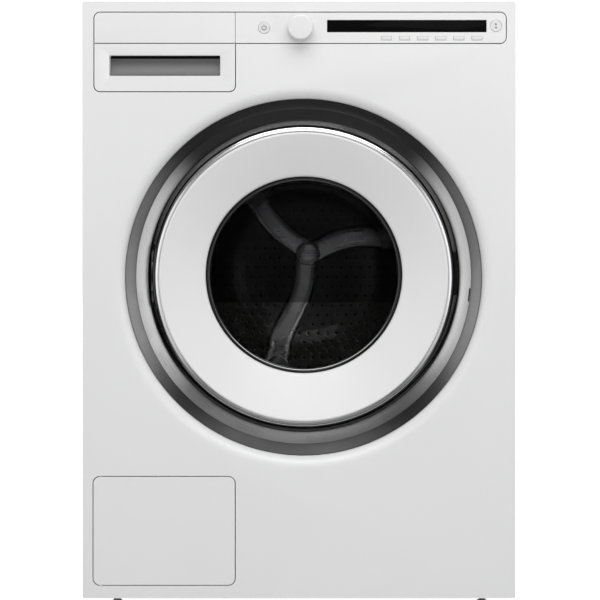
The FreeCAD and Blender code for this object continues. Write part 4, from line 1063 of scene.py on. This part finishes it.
@dataclass
class Controls(Assembly):
    """Strip, window, knob, two round buttons and six keys."""

    icon_line: float = 0.85

    def build(self) -> None:
        """Makes every piece on the strip."""
        self.soften("control_fascia", 0.45, "root", MOULDED, 50.0)
        self.window()
        low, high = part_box("programme_knob")
        centre = ((low.x + high.x) / 2, (low.z + high.z) / 2)
        radius = (high.x - low.x) / 2 / MM
        self.spin("programme_knob_turned", [
            (0, 0), (radius - 1.6, 0.0), (radius - 0.3, 1.3), (radius, 17.2),
            (radius - 0.6, 18.5), (5.5, 18.5), (5.5, 22), (3, 22), (3, 29.5), (0, 29.5)],
            [0, 1.0, 1.2, 0.5, 0.4, 0.2, 0.2, 0.2, 0.2, 0], "knob", KNOB, "programme_knob",
            steps=7, sharp=35, centre=centre, origin=low.y, segments=128)
        for body, node in (("power", "power_button"), ("start", "start_button")):
            self.button(body, node)
        for index in range(1, 7):
            self.key(index)

    def window(self) -> None:
        """The black window, with rounded corners, and its module behind."""
        low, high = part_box("display_module")
        points = points_of("display_module")
        front = points[points[:, 1] < low.y + 0.5 * MM]
        left, right = front[:, 0].min(), front[:, 0].max()
        bottom, top = front[:, 2].min(), front[:, 2].max()
        lens = pad(left, right, bottom, top, 1.6 * MM, [
            (0.5 * MM, low.y), (0.15 * MM, low.y + 0.12 * MM), (0.0, low.y + 0.4 * MM),
            (0.0, low.y + 9.7 * MM)])
        board = pad(low.x, high.x, low.z, high.z, 1.0 * MM, [
            (0.3 * MM, low.y + 9.71 * MM), (0.0, low.y + 10 * MM), (0.0, high.y - 0.3 * MM),
            (0.3 * MM, high.y)])
        self.shape("display_window", [lens, board], "root", WINDOW, "display_module")

    def button(self, body: str, node: str) -> None:
        """A round button with a dished face and a plain symbol."""
        low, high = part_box(node)
        x, z = (low.x + high.x) / 2, (low.z + high.z) / 2
        radius, depth = (high.x - low.x) / 2 / MM, (high.y - low.y) / MM
        self.spin(f"{node}_cap", [(0, 0.25), (radius - 2.0, 0.2), (radius - 1.0, 0),
                                  (radius, 0.5), (radius, depth), (0, depth)],
                  [0, 0.6, 0.5, 0.4, 0.1, 0], body, KEY, node, centre=(x, z), origin=low.y,
                  segments=96)
        near, far = low.y + 0.1 * MM, low.y + 0.6 * MM
        if body == "power":
            angle = np.radians(np.linspace(130, 410, 48))[:, None]
            ring = np.concatenate([np.cos(angle), np.sin(angle)], 1) * MM
            at = np.array([x, z])
            parts = [slab(at + ring * (3.4 - self.icon_line), at + ring * 3.4, near, far)]
            bars = ((0.0, 1.0, 4.2),)
        else:
            edge = np.array([[x - 1.1 * MM, z + 3.9 * MM], [x + 1.5 * MM, z + 2.3 * MM]])
            under = np.array([[x - 1.1 * MM, z + 0.7 * MM], [x + 1.5 * MM, z + 2.25 * MM]])
            parts = [slab(edge, under, near, far)]
            bars = ((-0.9, -3.6, -0.9), (0.7, -3.6, -0.9))
        wide = np.array([self.icon_line / 2 * MM, 0])
        for shift, bottom, top in bars:
            bar = np.array([[x + shift * MM, z + bottom * MM], [x + shift * MM, z + top * MM]])
            parts.append(slab(bar - wide, bar + wide, near, far))
        self.shape(f"{node}_symbol", parts, body, MARK)

    def key(self, index: int) -> None:
        """An option key: a low pad with a soft edge."""
        node = f"option_key_{index}"
        low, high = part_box(node)
        made = pad(low.x, high.x, low.z, high.z, 1.2 * MM, [
            (0.9 * MM, low.y), (0.35 * MM, low.y + 0.1 * MM), (0.08 * MM, low.y + 0.35 * MM),
            (0.0, low.y + 0.7 * MM), (0.0, high.y)])
        self.shape(f"{node}_cap", [made], f"key_{index}", KEY, node)


@dataclass
class Drawer(Assembly):
    """Drawer, its grip, its housing, the filter flap and the pump, in millimetres."""

    grip_left: float = 20.6
    grip_right: float = 20.5
    grip_low: float = 21.2
    grip_high: float = 49.3

    def build(self) -> None:
        """Makes every piece of the drawer and of the flap."""
        self.soften("drawer_front", 0.6, "drawer", MOULDED, 50.0)
        self.grip()
        self.soften("drawer_box", 0.4, "drawer", INNER)
        self.dress(INNER, "dispenser_housing", "drain_pump")
        self.soften("filter_flap", 0.5, "flap", MOULDED)
        self.soften("pump_filter", 0.8, "filter", INNER)
        self.soften("inlet_valve", 0.5, "root", INNER)
        self.soften("mains_gland", 0.4, "root", DARK)

    def grip(self) -> None:
        """A scooped lining in the finger grip, and a black strip of painted shadow under its top
        edge.

        The lining's line runs from the lower edge back and up as a quarter of an ellipse.
        """
        low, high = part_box("drawer_front")
        left, right = low.x + self.grip_left * MM, high.x - self.grip_right * MM
        bottom = low.z + self.grip_low * MM
        top = low.z + self.grip_high * MM
        t = np.linspace(0, math.pi / 2, 18)
        tall = top - bottom - 4.2 * MM
        front = low.y + 0.9 * MM
        scoop_y = front + 13.5 * MM * np.sin(t)
        scoop_z = bottom + 0.15 * MM + tall * (1 - np.cos(t))
        line = np.concatenate([np.stack([scoop_y, scoop_z], -1),
                               [[low.y + 15.9 * MM, scoop_z[-1]],
                                [low.y + 15.9 * MM, bottom + 0.05 * MM],
                                [front, bottom + 0.05 * MM]]])
        x = np.array([left + 0.1 * MM, right - 0.1 * MM])[:, None]
        x = np.broadcast_to(x, (2, len(line)))
        points = np.stack([x, np.broadcast_to(line[:, 0], x.shape),
                           np.broadcast_to(line[:, 1], x.shape)], -1)
        self.shape("grip_lining", [loft(points, False)], "drawer", SLATE)
        # Painted shadow: a black strip at the back of the grip, under its top edge, where the
        # undercut lies in shade.
        dark = pad(left + 0.1 * MM, right - 0.1 * MM, top - 4.3 * MM, top - 0.1 * MM, 0.4 * MM,
                   [(0.0, low.y + 14.6 * MM), (0.0, low.y + 15.9 * MM)])
        self.shape("grip_painted_shadow", [dark], "drawer", PAINTED_SHADE_BLACK)
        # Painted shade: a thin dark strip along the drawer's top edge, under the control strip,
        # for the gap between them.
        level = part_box("control_fascia")[0].z
        seam = pad(low.x + 0.6 * MM, high.x - 0.6 * MM, level - 1.0 * MM, level + 0.1 * MM,
                   0.1 * MM, [(0.0, low.y - 0.03 * MM), (0.0, low.y + 0.2 * MM)])
        self.shape("drawer_seam_painted_shade", [seam], "drawer", DARK)


@dataclass
class Studio:
    """Camera, floor, world and lights, in metres."""

    distance: float = 2.2
    height: float = 0.677
    aside: float = 0.045
    field: float = 0.8244
    middle: Pair = (0.0014, 0.4399)

    def build(self) -> None:
        """Sets up everything round the machine."""
        self.camera()
        self.floor()
        self.world()
        self.panel("overhead", (0.1, -1.5, 2.3), (0.05, -0.25, 0.6), 2.4, 1.4, 36.0)
        self.panel("left_wall", (-1.9, -1.2, 0.6), (0.0, -0.25, 0.47), 2.0, 1.6, 10.0)
        self.panel("right_wall", (1.9, -1.2, 0.6), (0.0, -0.25, 0.47), 2.0, 1.6, 11.0)
        self.panel("front_fill", (0.4, -3.0, 1.3), (0.0, -0.2, 0.45), 1.4, 1.0, 4.0)
        view = bpy.context.scene.view_settings
        view.view_transform = "Standard"

    def camera(self) -> None:
        """A level camera whose shift frames the front."""
        data = bpy.data.cameras.new("camera")
        data.sensor_width = 36.0
        data.lens = 36.0 * self.distance / self.field
        data.shift_x = (self.middle[0] - self.aside) / self.field
        data.shift_y = (self.middle[1] - self.height) / self.field
        thing = bpy.data.objects.new("camera", data)
        thing.location = (self.aside, PLACE.front - self.distance, self.height)
        thing.rotation_euler = (math.radians(90), 0, 0)
        bpy.context.scene.collection.objects.link(thing)
        bpy.context.scene.camera = thing

    def floor(self) -> None:
        """A plain pale floor."""
        mesh = bpy.data.meshes.new("floor")
        mesh.from_pydata([(-4, -4, 0), (4, -4, 0), (4, 4, 0), (-4, 4, 0)], [], [(0, 1, 2, 3)])
        finish = Finish("floor_pale", "", (0.70, 0.70, 0.70), 0.7, bump=0.0, specular=0.1)
        material = finish.material()
        shader = material.node_tree.nodes["Principled BSDF"]
        shader.inputs["Emission Color"].default_value = (1, 1, 1, 1)
        graph = Graph(material.node_tree)
        sight = graph.add("ShaderNodeLightPath").outputs["Is Camera Ray"]
        graph.join(graph.span(sight, 0.0, 1.0), shader.inputs["Emission Strength"])
        mesh.materials.append(material)
        thing = bpy.data.objects.new("floor", mesh)
        bpy.context.scene.collection.objects.link(thing)

    def world(self) -> None:
        """A white backdrop whose light on the machine is softer than it looks."""
        world = bpy.data.worlds.new("studio")
        world.use_nodes = True
        bpy.context.scene.world = world
        graph = Graph(world.node_tree)
        background = world.node_tree.nodes["Background"]
        sight = graph.add("ShaderNodeLightPath").outputs["Is Camera Ray"]
        graph.join(graph.span(sight, 0.30, 1.05), background.inputs["Strength"])
        background.inputs["Color"].default_value = (1, 1, 1, 1)

    def panel(self, name: str, spot: Triple,
              target: Triple, wide: float, tall: float,
              watts: float) -> None:
        """A soft rectangular light at a spot, facing a target."""
        data = bpy.data.lights.new(name, "AREA")
        data.shape = "RECTANGLE"
        data.size = wide
        data.size_y = tall
        data.energy = watts
        thing = bpy.data.objects.new(name, data)
        thing.location = spot
        thing.rotation_euler = (Vector(target) - Vector(spot)).to_track_quat("-Z", "Y").to_euler()
        bpy.context.scene.collection.objects.link(thing)


def main() -> None:
    """Builds the assemblies in order."""
    logging.basicConfig(level=logging.INFO, format="%(message)s")
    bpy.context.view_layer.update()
    for assembly in (Cabinet(), Surround(), Door(), Drum(), Tub(), Controls(), Drawer(),
                     Studio()):
        LOG.info("building %s", type(assembly).__name__)
        assembly.build()


if __name__ == "__main__":
    main()
